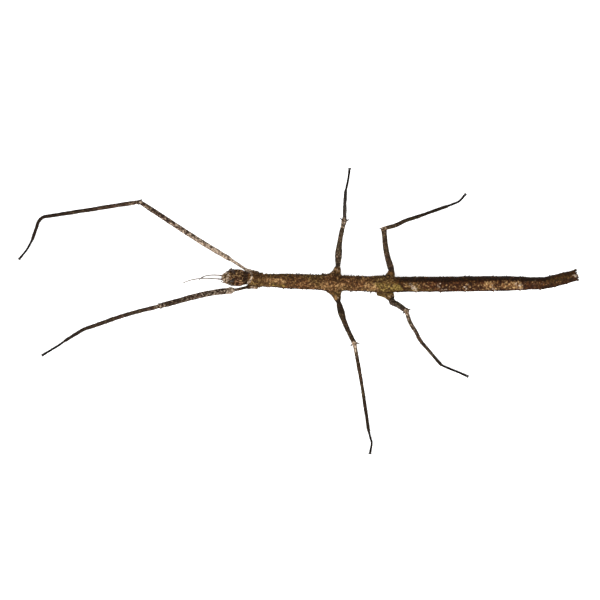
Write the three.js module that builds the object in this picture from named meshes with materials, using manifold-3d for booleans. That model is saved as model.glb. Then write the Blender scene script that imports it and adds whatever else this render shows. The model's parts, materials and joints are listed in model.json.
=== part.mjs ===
// A stick insect: an adult wingless female, 110 mm long, standing still on six feet.
// Millimetres, +Z up. The head points to -X, the insect's right side is +Y, the soles lie at Z = 0.
//
// Every plate of the trunk and every joint of a leg is one closed solid. Each is lofted through
// a row of rings along its own centre line, and where two neighbours meet, one is cut back by
// the other's grown shape, which leaves a thin, even gap between them.

import * as THREE from 'three';
import { mergeVertices } from 'three/addons/utils/BufferGeometryUtils.js';
import Module from 'manifold-3d';

// ---------------------------------------------------------------- driving dimensions

const GAP = 0.14;                 // clear width between two neighbouring pieces
const AXIS_HEIGHT = 8.6;          // centre line of the thorax above the ground
const NECK = [-15.0, 7.88];       // where head and prothorax meet, seen from above

// The trunk runs from the neck to the tail tip. Headings turn from +X towards +Y, and pitches
// lift the tail, both in degrees. Half widths and half depths are those of the plate's middle.
const TRUNK = [
  { name: 'prothorax', length: 4.55, heading: -9, pitch: 0, halfWidth: 2.3, halfDepth: 1.95 },
  { name: 'mesothorax', length: 24.6, heading: -2.1, pitch: 0, halfWidth: 2.36, halfDepth: 2.05 },
  { name: 'metathorax', length: 16.7, heading: -1.5, pitch: 0, halfWidth: 2.42, halfDepth: 2.05 },
  { name: 'abdomen_2', length: 6.5, heading: 0.9, pitch: 0, halfWidth: 2.42, halfDepth: 2.05 },
  { name: 'abdomen_3', length: 7.6, heading: 0, pitch: 0, halfWidth: 2.44, halfDepth: 2.1 },
  { name: 'abdomen_4', length: 7.6, heading: 0.7, pitch: 0, halfWidth: 2.38, halfDepth: 2.1 },
  { name: 'abdomen_5', length: 8.8, heading: 0.8, pitch: 0, halfWidth: 2.4, halfDepth: 2.05 },
  { name: 'abdomen_6', length: 8.35, heading: 0.2, pitch: 0, halfWidth: 2.32, halfDepth: 2.0 },
  { name: 'abdomen_7', length: 6.05, heading: 0, pitch: 0, halfWidth: 2.0, halfDepth: 1.8 },
  { name: 'abdomen_8', length: 4.25, heading: 9.4, pitch: 2.7, halfWidth: 1.88, halfDepth: 1.6 },
  { name: 'abdomen_9', length: 3.65, heading: 14, pitch: 7.8, halfWidth: 1.9, halfDepth: 1.5 },
  { name: 'abdomen_10', length: 3.5, heading: 13.6, pitch: 11.4, halfWidth: 1.82, halfDepth: 1.4 },
];
const TRUNK_SIDES = 14;
const TRUNK_ROOF = 1.12;          // above 1 the back is drawn up into a ridge
const TRUNK_BELLY = 0.92;         // below 1 the belly is boxy
const RIDGE = 0.13;               // how far the rim of an abdominal plate stands proud

// The head, from the neck to the lip.
const HEAD_LENGTH = 8.2;
const HEAD_HEADING = 178.2;
const HEAD_PITCH = -2.8;

// Half width, half depth and rise of the skull at fractions of its length.
const SKULL = {
  width: [[0, 1.7], [0.1, 2.1], [0.32, 2.68], [0.58, 2.66], [0.78, 2.12], [0.92, 1.35], [1, 0.75]],
  depth: [[0, 1.6], [0.1, 1.8], [0.32, 2.05], [0.6, 1.95], [0.8, 1.55], [0.92, 1.15], [1, 0.7]],
  lift: [[0, 0], [0.5, 0.05], [1, -0.25]],
};

// Places on the head are given forward from the neck, out to the side, and up.
const EYE = { place: [5.35, 2.22, 0.75], radius: 0.62, stretch: [1.15, 0.8, 1] };
const HORN = {
  path: [[4.3, 0.95, 1.0], [4.6, 1.5, 2.5], [5.0, 2.1, 4.0]],
  breadth: [[0, 0.85], [0.5, 0.72], [0.8, 0.45], [1, 0.14]],
  thickness: 0.6,
};
const JAWS = {
  path: [[6.0, 0, -1.2], [7.3, 0, -1.3], [8.15, 0, -1.55]],
  halfWidth: 1.15,
  halfDepth: 0.62,
};
const PALP = {
  path: [[6.2, 1.05, -1.35], [7.2, 1.25, -1.85], [8.0, 1.0, -2.2], [8.5, 0.65, -2.4]],
  radius: 0.25,
};

// The feelers leave the head side by side and swing over towards the left.
const FEELERS = {
  right: { length: 9.6, startHeading: 184, endHeading: 238, startPitch: 30, endPitch: 46 },
  left: { length: 12.3, startHeading: 176, endHeading: 209, startPitch: 5, endPitch: 13 },
};
const FEELER_ROOTS = [[7.2, 0.62, 0.1], [8.3, 0.6, 0.05]];
const FEELER_RADIUS = 0.26;

// Each leg leaves the trunk at its coxa. Roots and tips are measured from the trunk's centre
// line: along it from the neck, out to the side, and up. Sizes are half widths and half depths.
const COXAE = {
  front: { root: [2.9, 1.5, -1], rootSize: [1.3, 1.1], tip: [-0.28, 2.65, -1.3], tipSize: [0.6, 0.53] },
  middle: { root: [26.9, 1.2, -0.8], rootSize: [2.9, 1.4], tip: [27.95, 5.6, -1.35], tipSize: [0.72, 0.68] },
  hindRight: { root: [43.6, 1, -0.9], rootSize: [2.7, 1.3], tip: [44.65, 4.5, -1.5], tipSize: [0.9, 0.76] },
  hindLeft: { root: [42.4, 1.1, -0.9], rootSize: [3.3, 1.3], tip: [44.65, 4.5, -1.5], tipSize: [0.95, 0.76] },
};
// How the size falls from the root's (1) to the tip's (0)
const COXA_TAPER = [[0, 1], [0.2, 1], [0.35, 0.66], [0.5, 0.42], [0.65, 0.26], [0.85, 0.18], [1, 0]];

// Femur and tibia half widths (across) and half depths (along the roll) at fractions of length.
const FEMORA = {
  front: {
    across: [[0, 0.4], [0.14, 0.44], [0.19, 0.72], [0.4, 0.78], [0.9, 0.74], [1, 0.64]],
    deep: [[0, 0.42], [0.14, 0.46], [0.19, 1.02], [0.26, 0.94], [0.4, 0.92], [0.9, 0.86], [1, 0.78]],
  },
  middle: {
    across: [[0, 0.64], [0.12, 0.95], [0.27, 1.1], [0.42, 0.82], [0.7, 0.7], [0.88, 0.7], [0.96, 0.85], [1, 0.68]],
    deep: [[0, 0.66], [0.12, 1], [0.27, 1.12], [0.42, 0.88], [0.7, 0.76], [0.93, 0.8], [1, 0.68]],
  },
  hind: {
    across: [[0, 0.84], [0.12, 1.04], [0.35, 0.88], [0.7, 0.8], [0.88, 0.82], [0.96, 0.92], [1, 0.7]],
    deep: [[0, 0.68], [0.12, 1], [0.35, 0.9], [0.7, 0.82], [0.93, 0.86], [1, 0.7]],
  },
};
const TIBIAE = {
  front: { across: [[0, 0.56], [0.06, 0.65], [0.5, 0.63], [0.85, 0.52], [1, 0.46]] },
  middle: { across: [[0, 0.5], [0.06, 0.58], [0.3, 0.56], [0.7, 0.5], [0.93, 0.48], [1, 0.5]] },
  hind: { across: [[0, 0.54], [0.06, 0.62], [0.4, 0.58], [0.7, 0.5], [0.9, 0.47], [1, 0.45]] },
};
const TIBIA_DEPTH = 1.1;          // how much deeper than wide a tibia is
const TIBIA_OVERLAP = 0.3;        // how far it starts inside the knee, before it is cut back
const TIBIA_CORNER = [3.2, 1.3];  // it is straight to here, and then cuts the corner at its bend
const SPINE_LENGTHS = { front: 0.8, middle: 1.35, hind: 1.2 };
const KNEE_SPINE = { radius: 0.34, root: 0.7, beside: 0.45, splay: 1.5 };

// The stance. Headings turn outwards from straight back (0) over the side (90) to straight
// ahead (180), so one number means the same on both sides. Lengths are true lengths in space,
// end heights are above the ground, and a bow pushes the middle of a run out sideways. The
// slim root of a fore femur has a bow of its own, where it bends round the head.
const LEGS = [
  {
    name: 'front_right', pair: 'front', coxa: 'front', side: 1, roll: 8,
    femur: { length: 40.2, heading: 150.6, bow: 0.2, baseBow: -0.1, endHeight: 20 },
    shank: { length: 35.2, heading: 181.8, bow: 0, endHeight: 5 },
    ankle: { length: 7.5, heading: 247, endHeight: 1.4 },
    foot: { length: 3.9, heading: 239, endHeight: 0.22 },
    toes: { length: 3.2, heading: 233, endHeight: 0.22 },
  },
  {
    name: 'front_left', pair: 'front', coxa: 'front', side: -1, roll: 68,
    femur: { length: 36.4, heading: 155.7, bow: -0.65, baseBow: 0.05, endHeight: 30 },
    shank: { length: 33.6, heading: 176.3, bow: -0.45, endHeight: 7 },
    ankle: { length: 8.7, heading: 159, endHeight: 1.4 },
    foot: { length: 3.3, heading: 149.4, endHeight: 0.22 },
    toes: { length: 4.8, heading: 147.8, endHeight: 0.22 },
  },
  {
    name: 'middle_right', pair: 'middle', coxa: 'middle', side: 1, roll: 35,
    femur: { length: 19.9, heading: 80.4, bow: 0.5, endHeight: 24 },
    shank: { length: 17.7, heading: 87.5, bow: 0, endHeight: 9 },
    ankle: { length: 9.7, heading: 86.3, endHeight: 1.4 },
    foot: { length: 4.7, heading: 79, endHeight: 0.22 },
    toes: { length: 3.0, heading: 82.5, endHeight: 0.22 },
  },
  {
    name: 'middle_left', pair: 'middle', coxa: 'middle', side: -1, roll: 20,
    femur: { length: 19.4, heading: 73, bow: -0.5, endHeight: 17 },
    shank: { length: 14.2, heading: 78.4, bow: 0, endHeight: 9 },
    ankle: { length: 14.4, heading: 80.3, endHeight: 1.4 },
    foot: { length: 3.8, heading: 75, endHeight: 0.22 },
    toes: { length: 3.0, heading: 99, endHeight: 0.22 },
  },
  {
    name: 'hind_right', pair: 'hind', coxa: 'hindRight', side: 1, roll: 25,
    femur: { length: 14.4, heading: 102.1, bow: 0.55, endHeight: 14 },
    shank: { length: 12.5, heading: 25.5, bow: -0.35, endHeight: 8 },
    ankle: { length: 13.6, heading: 28, endHeight: 1.4 },
    foot: { length: 4.5, heading: 26.2, endHeight: 0.22 },
    toes: { length: 2.8, heading: 48, endHeight: 0.22 },
  },
  {
    name: 'hind_left', pair: 'hind', coxa: 'hindLeft', side: -1, roll: 25,
    femur: { length: 14.7, heading: 59.7, bow: -0.2, baseBow: -0.6, endHeight: 19.5 },
    shank: { length: 12.4, heading: 57.6, bow: -0.45, endHeight: 10 },
    ankle: { length: 12.5, heading: 40.6, endHeight: 1.6 },
    foot: { length: 5.8, heading: 20, endHeight: 0.22 },
    toes: { length: 2.8, heading: 24.8, endHeight: 0.22 },
  },
];
const TARSUS_RADIUS = 0.3;        // more than the toes' height, so the sole is cut flat at Z = 0
const TARSOMERES = [0.42, 0.57, 0.7, 0.81];   // joints between the five small foot pieces
const HEEL_HEIGHT = 0.5;
const PAD = { radius: 0.5, length: 1.05, width: 0.85, height: 0.75, middle: 0.2, ahead: 0.25 };
const CLAW = { length: 0.95, radius: 0.27, splay: 62, height: 0.42, droop: 0.12 };

// ---------------------------------------------------------------- small helpers

const radians = THREE.MathUtils.degToRad;
const UP = new THREE.Vector3(0, 0, 1);

// Unit vector with a heading from +X towards +Y and a pitch above the horizontal
function direction(heading, pitch = 0) {
  const flat = Math.cos(radians(pitch));
  return new THREE.Vector3(
    flat * Math.cos(radians(heading)),
    flat * Math.sin(radians(heading)),
    Math.sin(radians(pitch)),
  );
}

// Smooth curve of one value through [fraction, value] stops
function profile(stops) {
  return (fraction) => {
    if (fraction <= stops[0][0]) return stops[0][1];
    for (let i = 1; i < stops.length; i += 1) {
      const [start, from] = stops[i - 1];
      const [end, to] = stops[i];
      if (fraction <= end) {
        return THREE.MathUtils.lerp(from, to, THREE.MathUtils.smoothstep(fraction, start, end));
      }
    }
    return stops[stops.length - 1][1];
  };
}

const evenly = (count) => Array.from({ length: count + 1 }, (_, i) => i / count);

// Closed solid through rings of points, with a flat fan at each end
function loft(rings) {
  const sides = rings[0].length;
  const positions = rings.flat().flatMap((point) => [point.x, point.y, point.z]);
  const faces = [];
  for (let r = 0; r + 1 < rings.length; r += 1) {
    for (let s = 0; s < sides; s += 1) {
      const a = r * sides + s;
      const b = r * sides + ((s + 1) % sides);
      faces.push(a, b, a + sides, b, b + sides, a + sides);
    }
  }
  for (const [ring, first] of [[rings[0], 0], [rings.at(-1), (rings.length - 1) * sides]]) {
    const centre = ring.reduce((sum, p) => sum.add(p), new THREE.Vector3()).divideScalar(sides);
    const tip = positions.push(centre.x, centre.y, centre.z) / 3 - 1;
    for (let s = 0; s < sides; s += 1) {
      const here = first + s;
      const next = first + ((s + 1) % sides);
      faces.push(...(first === 0 ? [tip, next, here] : [tip, here, next]));
    }
  }
  const geometry = new THREE.BufferGeometry();
  geometry.setAttribute('position', new THREE.Float32BufferAttribute(positions, 3));
  geometry.setIndex(faces);
  return geometry;
}

// Ring across a centre line. Sharpness above 1 draws the top or belly into a keel, below 1
// makes it boxy. The side axis is level, turned by the roll.
function ring(centre, tangent, shape) {
  const side = new THREE.Vector3().crossVectors(UP, tangent).normalize();
  side.applyAxisAngle(tangent, radians(shape.roll ?? 0));
  const top = new THREE.Vector3().crossVectors(tangent, side);
  return Array.from({ length: shape.sides }, (_, i) => {
    const angle = (2 * Math.PI * (i + 0.5)) / shape.sides;
    const across = Math.cos(angle);
    const above = Math.sin(angle);
    const power = above > 0 ? (shape.topSharpness ?? 1) : (shape.bellySharpness ?? 1);
    const out = Math.sign(across) * Math.abs(across) ** power * shape.halfWidth;
    const up = Math.sign(above) * Math.abs(above) ** power * shape.halfDepth;
    return centre.clone().addScaledVector(side, out).addScaledVector(top, up + (shape.lift ?? 0));
  });
}

// Solid along a curve. shapeAt gives the ring at each fraction; grow makes it fatter and longer.
function along(curve, fractions, shapeAt, grow = 0) {
  const last = fractions.length - 1;
  return loft(fractions.map((fraction, i) => {
    const tangent = curve.getTangentAt(fraction);
    const reach = i === 0 ? -grow : (i === last ? grow : 0);
    const shape = shapeAt(fraction);
    const centre = curve.getPointAt(fraction).addScaledVector(tangent, reach);
    const halfWidth = shape.halfWidth + grow;
    const halfDepth = shape.halfDepth + grow;
    return ring(centre, tangent, { ...shape, halfWidth, halfDepth });
  }));
}

const wasm = await Module();
wasm.setup();

function toSolid(geometry) {
  const bare = new THREE.BufferGeometry();
  bare.setAttribute('position', geometry.getAttribute('position').clone());
  bare.setIndex(geometry.getIndex());
  const merged = mergeVertices(bare, 1e-5);
  return new wasm.Manifold(new wasm.Mesh({
    numProp: 3,
    vertProperties: merged.getAttribute('position').array,
    triVerts: Uint32Array.from(merged.getIndex().array),
  }));
}

function toGeometry(solid) {
  const mesh = solid.getMesh();
  const geometry = new THREE.BufferGeometry();
  const flat = [];
  for (let i = 0; i < mesh.vertProperties.length; i += mesh.numProp) {
    flat.push(...mesh.vertProperties.slice(i, i + 3));
  }
  geometry.setAttribute('position', new THREE.Float32BufferAttribute(flat, 3));
  geometry.setIndex(Array.from(mesh.triVerts));
  return geometry;
}

// The largest body left of a shape once others are cut away from it
function cutBy(shape, ...others) {
  const left = others.reduce((solid, other) => solid.subtract(toSolid(other)), toSolid(shape));
  const bodies = left.decompose().sort((a, b) => b.volume() - a.volume());
  return toGeometry(bodies[0]);
}

function joined(...shapes) {
  return toGeometry(shapes.map(toSolid).reduce((sum, solid) => sum.add(solid)));
}

// Flat sole: nothing reaches below the ground
function onGround(geometry) {
  const position = geometry.getAttribute('position');
  for (let i = 0; i < position.count; i += 1) {
    position.setZ(i, Math.max(position.getZ(i), 0));
  }
  return geometry;
}

// ---------------------------------------------------------------- finishes

function finish(color, roughness) {
  return new THREE.MeshStandardMaterial({ color, roughness, metalness: 0 });
}

const FINISHES = {
  bark: finish(0x5b4028, 0.75),       // thorax and head
  darkBark: finish(0x432d1d, 0.72),   // abdomen
  foreleg: finish(0x8a6f5c, 0.7),
  leg: finish(0x4a3a2e, 0.72),
  foot: finish(0x1f1917, 0.55),
  feeler: finish(0x8d8780, 0.5),
  eye: finish(0x2a1a12, 0.2),
  horn: finish(0x2b2019, 0.6),
};

const insect = new THREE.Group();
function add(name, geometry, material) {
  const mesh = new THREE.Mesh(geometry, material);
  mesh.name = name;
  mesh.geometry.computeVertexNormals();
  insect.add(mesh);
}

// ---------------------------------------------------------------- trunk

// Joints of the trunk, and its direction at each: the mean of the plates on either side
const joints = [new THREE.Vector3(...NECK, AXIS_HEIGHT)];
const runs = TRUNK.map((plate) => direction(plate.heading, plate.pitch));
TRUNK.forEach((plate, i) => joints.push(joints[i].clone().addScaledVector(runs[i], plate.length)));
const jointDirections = joints.map((_, i) => {
  const before = runs[Math.max(i - 1, 0)];
  const after = runs[Math.min(i, runs.length - 1)];
  return before.clone().add(after).normalize();
});

// Point, direction and frame of the trunk's centre line at a distance from the neck
function trunkAt(distance) {
  let index = 0;
  let rest = distance;
  while (index < TRUNK.length - 1 && rest > TRUNK[index].length) {
    rest -= TRUNK[index].length;
    index += 1;
  }
  const fraction = rest / TRUNK[index].length;
  const nearest = fraction < 0.5 ? jointDirections[index] : jointDirections[index + 1];
  const turning = Math.abs(2 * fraction - 1) ** 2;
  const tangent = runs[index].clone().lerp(nearest, turning).normalize();
  return { point: joints[index].clone().addScaledVector(runs[index], rest), tangent };
}

// Offset from the centre line: along from the neck, out to one side, up
function besideTrunk([distance, out, up], side) {
  const { point } = trunkAt(distance);
  return point.add(new THREE.Vector3(0, out * side, up));
}

// Half width of each plate: pinched at its front, with a raised rim at each end
const abdominalRim = profile([
  [0, 0], [0.05, RIDGE], [0.14, 0], [0.86, 0], [0.95, RIDGE], [1, 0.3 * RIDGE],
]);
const PLATE_SHAPES = {
  prothorax: {
    stations: [0, 0.1, 0.14, 0.24, 0.5, 0.8, 0.9, 1],
    extra: profile([
      [0, -0.45], [0.1, -0.4], [0.14, 0.05], [0.24, 0], [0.8, -0.05], [0.9, 0.12], [1, -0.3],
    ]),
  },
  mesothorax: {
    stations: [0, 0.04, 0.12, 0.25, 0.4, 0.55, 0.7, 0.8, 0.88, 0.95, 1],
    extra: profile([[0, -0.25], [0.12, -0.25], [0.3, 0], [0.7, 0.06], [0.88, 0.5], [1, 0.1]]),
  },
  metathorax: {
    stations: [0, 0.08, 0.25, 0.45, 0.62, 0.76, 0.86, 0.94, 1],
    extra: profile([[0, 0.1], [0.08, 0.02], [0.45, 0], [0.78, 0.45], [1, 0]]),
  },
};
const ABDOMINAL_STATIONS = [0, 0.05, 0.14, 0.5, 0.86, 0.95, 1];

function trunkPlate(index, grow = 0) {
  const plate = TRUNK[index];
  const before = TRUNK[Math.max(index - 1, 0)];
  const after = TRUNK[Math.min(index + 1, TRUNK.length - 1)];
  const special = PLATE_SHAPES[plate.name];
  const stations = special?.stations ?? ABDOMINAL_STATIONS;
  const extra = special?.extra ?? abdominalRim;
  const start = TRUNK.slice(0, index).reduce((sum, p) => sum + p.length, 0);
  const blend = (key) => profile([
    [0, (before[key] + plate[key]) / 2],
    [0.5, plate[key]],
    [1, (after[key] + plate[key]) / 2],
  ]);
  const halfWidth = blend('halfWidth');
  const halfDepth = blend('halfDepth');
  const inset = GAP / 2 / plate.length;
  const rings = stations.map((station) => {
    const fraction = THREE.MathUtils.clamp(station, inset, 1 - inset);
    const end = station === 0 ? -grow : (station === 1 ? grow : 0);
    const { point, tangent } = trunkAt(start + fraction * plate.length);
    const swell = extra(station);
    return ring(point.addScaledVector(tangent, end), tangent, {
      sides: TRUNK_SIDES,
      halfWidth: halfWidth(station) + swell + grow,
      halfDepth: halfDepth(station) + 0.5 * swell + grow,
      topSharpness: TRUNK_ROOF,
      bellySharpness: TRUNK_BELLY,
    });
  });
  return loft(rings);
}

const plateIndex = (name) => TRUNK.findIndex((plate) => plate.name === name);
const COXA_HOSTS = {
  front: ['prothorax'],
  middle: ['mesothorax', 'metathorax'],
  hind: ['metathorax', 'abdomen_2'],
};

for (const [index, plate] of TRUNK.entries()) {
  if (plate.name === 'abdomen_10') continue;
  add(plate.name, trunkPlate(index), index < 3 ? FINISHES.bark : FINISHES.darkBark);
}

// ---------------------------------------------------------------- tail end

// A cone with a round base, leaning along a direction
function spine(base, towards, length, radius, sides = 6) {
  const geometry = new THREE.ConeGeometry(radius, length, sides);
  geometry.translate(0, length / 2, 0);
  const coneAxis = new THREE.Vector3(0, 1, 0);
  geometry.applyQuaternion(new THREE.Quaternion().setFromUnitVectors(coneAxis, towards));
  geometry.translate(base.x, base.y, base.z);
  return geometry;
}

// The tenth plate ends in two blunt lobes with a notch between them, and has a belly plate
// of its own below, which reaches back to the eighth.
const NOTCH = { depth: 1.1, halfWidth: 0.75, height: 6 };
const OPERCULUM = { length: 9.6, halfWidth: 1.25, halfDepth: 0.62, drop: 1.62, beforeTip: 0.3 };
const CERCUS = { length: 1.5, radius: 0.28, out: 0.82, below: 0.75, beforeTip: 0.9, splay: 0.12 };

const tailLength = TRUNK.reduce((sum, plate) => sum + plate.length, 0);
const tail = trunkAt(tailLength);
const tailSide = new THREE.Vector3().crossVectors(UP, tail.tangent).normalize();
const tailTop = new THREE.Vector3().crossVectors(tail.tangent, tailSide);

function notch() {
  const wedge = new THREE.CylinderGeometry(NOTCH.halfWidth, NOTCH.halfWidth, NOTCH.height, 6);
  wedge.rotateX(Math.PI / 2);
  wedge.scale(NOTCH.depth / NOTCH.halfWidth, 1, 1);
  wedge.applyMatrix4(new THREE.Matrix4().makeBasis(tail.tangent, tailSide, tailTop));
  return wedge.translate(tail.point.x, tail.point.y, tail.point.z);
}

function cercus(side, grow = 0) {
  const base = tail.point.clone().addScaledVector(tailSide, side * CERCUS.out);
  base.addScaledVector(tailTop, -CERCUS.below).addScaledVector(tail.tangent, -CERCUS.beforeTip);
  const towards = tail.tangent.clone().addScaledVector(tailSide, side * CERCUS.splay).normalize();
  return spine(base, towards, CERCUS.length + grow, CERCUS.radius + grow, 8);
}

function operculum(grow = 0) {
  const points = [1, 0.66, 0.33, 0].map((back) => {
    const { point, tangent } = trunkAt(tailLength - OPERCULUM.beforeTip - back * OPERCULUM.length);
    const side = new THREE.Vector3().crossVectors(UP, tangent).normalize();
    const below = new THREE.Vector3().crossVectors(tangent, side).multiplyScalar(-OPERCULUM.drop);
    return point.add(below);
  });
  const width = profile([[0, 0.45], [0.2, 0.95], [0.7, 1], [1, 0.55]]);
  return along(new THREE.CatmullRomCurve3(points), evenly(6), (fraction) => ({
    sides: 8,
    halfWidth: OPERCULUM.halfWidth * width(fraction),
    halfDepth: OPERCULUM.halfDepth * width(fraction),
    topSharpness: 0.8,
    bellySharpness: 1.25,
  }), grow);
}

const tailTools = [notch(), operculum(GAP), cercus(1, GAP), cercus(-1, GAP)];
add('abdomen_10', cutBy(trunkPlate(plateIndex('abdomen_10')), ...tailTools), FINISHES.darkBark);
for (const name of ['abdomen_7', 'abdomen_8', 'abdomen_9']) {
  const mesh = insect.getObjectByName(name);
  mesh.geometry = cutBy(mesh.geometry, operculum(GAP));
}
add('operculum', operculum(), FINISHES.darkBark);
add('cercus_right', cutBy(cercus(1), operculum(GAP)), FINISHES.darkBark);
add('cercus_left', cutBy(cercus(-1), operculum(GAP)), FINISHES.darkBark);

// ---------------------------------------------------------------- head

const headForward = direction(HEAD_HEADING, HEAD_PITCH);
const headRight = new THREE.Vector3().crossVectors(headForward, UP).normalize();
const headTop = new THREE.Vector3().crossVectors(headRight, headForward);

// Place in the head's own frame: forward from the neck, out to a side, up
const inHead = ([forward, out, up], side = 1) => joints[0].clone()
  .addScaledVector(headForward, forward)
  .addScaledVector(headRight, side * out)
  .addScaledVector(headTop, up);

// Curve through places on one side of the head
const headCurve = (path, side) => new THREE.CatmullRomCurve3(path.map((place) => inHead(place, side)));

function headSkull(grow = 0) {
  const width = profile(SKULL.width);
  const depth = profile(SKULL.depth);
  const lift = profile(SKULL.lift);
  const line = new THREE.LineCurve3(inHead([GAP / 2, 0, 0]), inHead([HEAD_LENGTH, 0, 0]));
  const stations = [0, 0.08, 0.2, 0.35, 0.5, 0.62, 0.73, 0.83, 0.92, 1];
  return along(line, stations, (fraction) => ({
    sides: 16,
    halfWidth: width(fraction),
    halfDepth: depth(fraction),
    lift: lift(fraction),
    topSharpness: 0.98,
    bellySharpness: 0.9,
  }), grow);
}

function eye(side, grow = 0) {
  const geometry = new THREE.SphereGeometry(EYE.radius + grow, 10, 7);
  geometry.scale(...EYE.stretch);
  const centre = inHead(EYE.place, side);
  return geometry.translate(centre.x, centre.y, centre.z);
}

// Ear-shaped: a leaf, broad at its root, flat from front to back, leaning out and forward
function horn(side, grow = 0) {
  const breadth = profile(HORN.breadth);
  return along(headCurve(HORN.path, side), evenly(5), (fraction) => ({
    sides: 8,
    halfWidth: HORN.thickness * (1 - 0.75 * fraction),
    halfDepth: breadth(fraction),
  }), grow);
}

// Feeler: a stout first joint, a smaller second one, and a thin whip that bends as it goes
function feeler(side) {
  const shape = side > 0 ? FEELERS.right : FEELERS.left;
  const points = FEELER_ROOTS.map((place) => inHead(place, side));
  const steps = 10;
  for (let i = 1; i <= steps; i += 1) {
    const bend = (i / steps) ** 2;
    const heading = THREE.MathUtils.lerp(shape.startHeading, shape.endHeading, bend);
    const pitch = THREE.MathUtils.lerp(shape.startPitch, shape.endPitch, i / steps);
    const stride = direction(heading, pitch).multiplyScalar(shape.length / steps);
    points.push(points.at(-1).clone().add(stride));
  }
  const radius = profile([
    [0, 0.36], [0.09, 0.38], [0.11, 0.29], [0.16, 0.32], [0.19, FEELER_RADIUS], [1, FEELER_RADIUS],
  ]);
  const fractions = [0, 0.09, 0.11, 0.16, 0.19, 0.32, 0.45, 0.58, 0.71, 0.85, 1];
  return along(new THREE.CatmullRomCurve3(points), fractions, (fraction) => ({
    sides: 6,
    halfWidth: radius(fraction),
    halfDepth: radius(fraction),
  }));
}

// Upper lip and jaws below the front of the head, and a three-jointed palp on each side
function jaws(grow = 0) {
  return along(headCurve(JAWS.path), evenly(4), (fraction) => ({
    sides: 8,
    halfWidth: JAWS.halfWidth - 0.45 * fraction,
    halfDepth: JAWS.halfDepth - 0.12 * fraction,
  }), grow);
}

function palp(side) {
  return along(headCurve(PALP.path, side), evenly(6), (fraction) => {
    const radius = PALP.radius + 0.03 * Math.cos(6 * Math.PI * fraction);
    return { sides: 6, halfWidth: radius, halfDepth: radius };
  });
}

const grownSkull = headSkull(GAP);
add('head', cutBy(headSkull(), eye(1, GAP), eye(-1, GAP), trunkPlate(0, GAP)), FINISHES.bark);
for (const [word, side] of [['right', 1], ['left', -1]]) {
  add(`eye_${word}`, eye(side), FINISHES.eye);
  add(`horn_${word}`, cutBy(horn(side), grownSkull, eye(side, GAP)), FINISHES.horn);
  add(`antenna_${word}`, cutBy(feeler(side), grownSkull), FINISHES.feeler);
  add(`palp_${word}`, cutBy(palp(side), grownSkull, jaws(GAP)), FINISHES.foot);
}
add('mouthparts', cutBy(jaws(), grownSkull), FINISHES.horn);

// ---------------------------------------------------------------- legs

const LEG_RUNS = ['femur', 'shank', 'ankle', 'foot', 'toes'];

// Every joint of a leg, from the root of the coxa to the tip of the foot
function skeleton(leg) {
  const bones = { root: besideTrunk(COXAE[leg.coxa].root, leg.side), runs: {}, ends: {} };
  bones.hip = besideTrunk(COXAE[leg.coxa].tip, leg.side);
  let here = bones.hip;
  for (const part of LEG_RUNS) {
    const { length, heading, endHeight } = leg[part];
    const pitch = THREE.MathUtils.radToDeg(Math.asin((endHeight - here.z) / length));
    bones.runs[part] = direction(heading * leg.side, pitch);
    here = here.clone().addScaledVector(bones.runs[part], length);
    bones.ends[part] = here;
  }
  return bones;
}

// Point part of the way along a run, pushed out sideways by its bow
function bowed(from, to, bow, fraction) {
  const sideways = new THREE.Vector3().crossVectors(UP, to.clone().sub(from)).normalize();
  return from.clone().lerp(to, fraction).addScaledVector(sideways, bow);
}

function coxa(leg, bones, grow = 0) {
  const { rootSize, tipSize } = COXAE[leg.coxa];
  const taper = profile(COXA_TAPER);
  const size = (axis, fraction) => THREE.MathUtils.lerp(tipSize[axis], rootSize[axis], taper(fraction));
  const curve = new THREE.LineCurve3(bones.root, bones.hip);
  const fractions = [0, 0.35, 0.6, 0.85, 1 - GAP / 2 / curve.getLength()];
  return along(curve, fractions, (fraction) => ({
    sides: 8,
    halfWidth: size(0, fraction),
    halfDepth: size(1, fraction),
  }), grow);
}

function femur(leg, bones, grow = 0) {
  const { across, deep } = FEMORA[leg.pair];
  const width = profile(across);
  const depth = profile(deep);
  const knee = bones.ends.femur;
  const points = [bones.hip, bowed(bones.hip, knee, leg.femur.bow, 0.45), knee];
  if (leg.femur.baseBow) points.splice(1, 0, bowed(bones.hip, knee, leg.femur.baseBow, 0.12));
  const curve = new THREE.CatmullRomCurve3(points);
  const start = GAP / 2 / curve.getLength();
  const fractions = [start, 0.08, 0.14, 0.19, 0.3, 0.45, 0.65, 0.85, 0.94, 1];
  return along(curve, fractions, (fraction) => ({
    sides: 8,
    halfWidth: width(fraction),
    halfDepth: depth(fraction),
    roll: leg.roll,
    topSharpness: 1.15,
    bellySharpness: 0.95,
  }), grow);
}

// The end of the femur carries a blunt spine on each side of the knee
function kneeSpines(leg, bones, grow = 0) {
  const run = bones.runs.femur;
  const sideways = new THREE.Vector3().crossVectors(UP, run).normalize();
  return [1, -1].map((which) => {
    const base = bones.ends.femur.clone().addScaledVector(run, -KNEE_SPINE.root);
    base.addScaledVector(sideways, which * KNEE_SPINE.beside);
    const towards = run.clone().addScaledVector(sideways, which * KNEE_SPINE.splay).normalize();
    return spine(base, towards, SPINE_LENGTHS[leg.pair] + grow, KNEE_SPINE.radius + grow, 5);
  });
}

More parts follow.
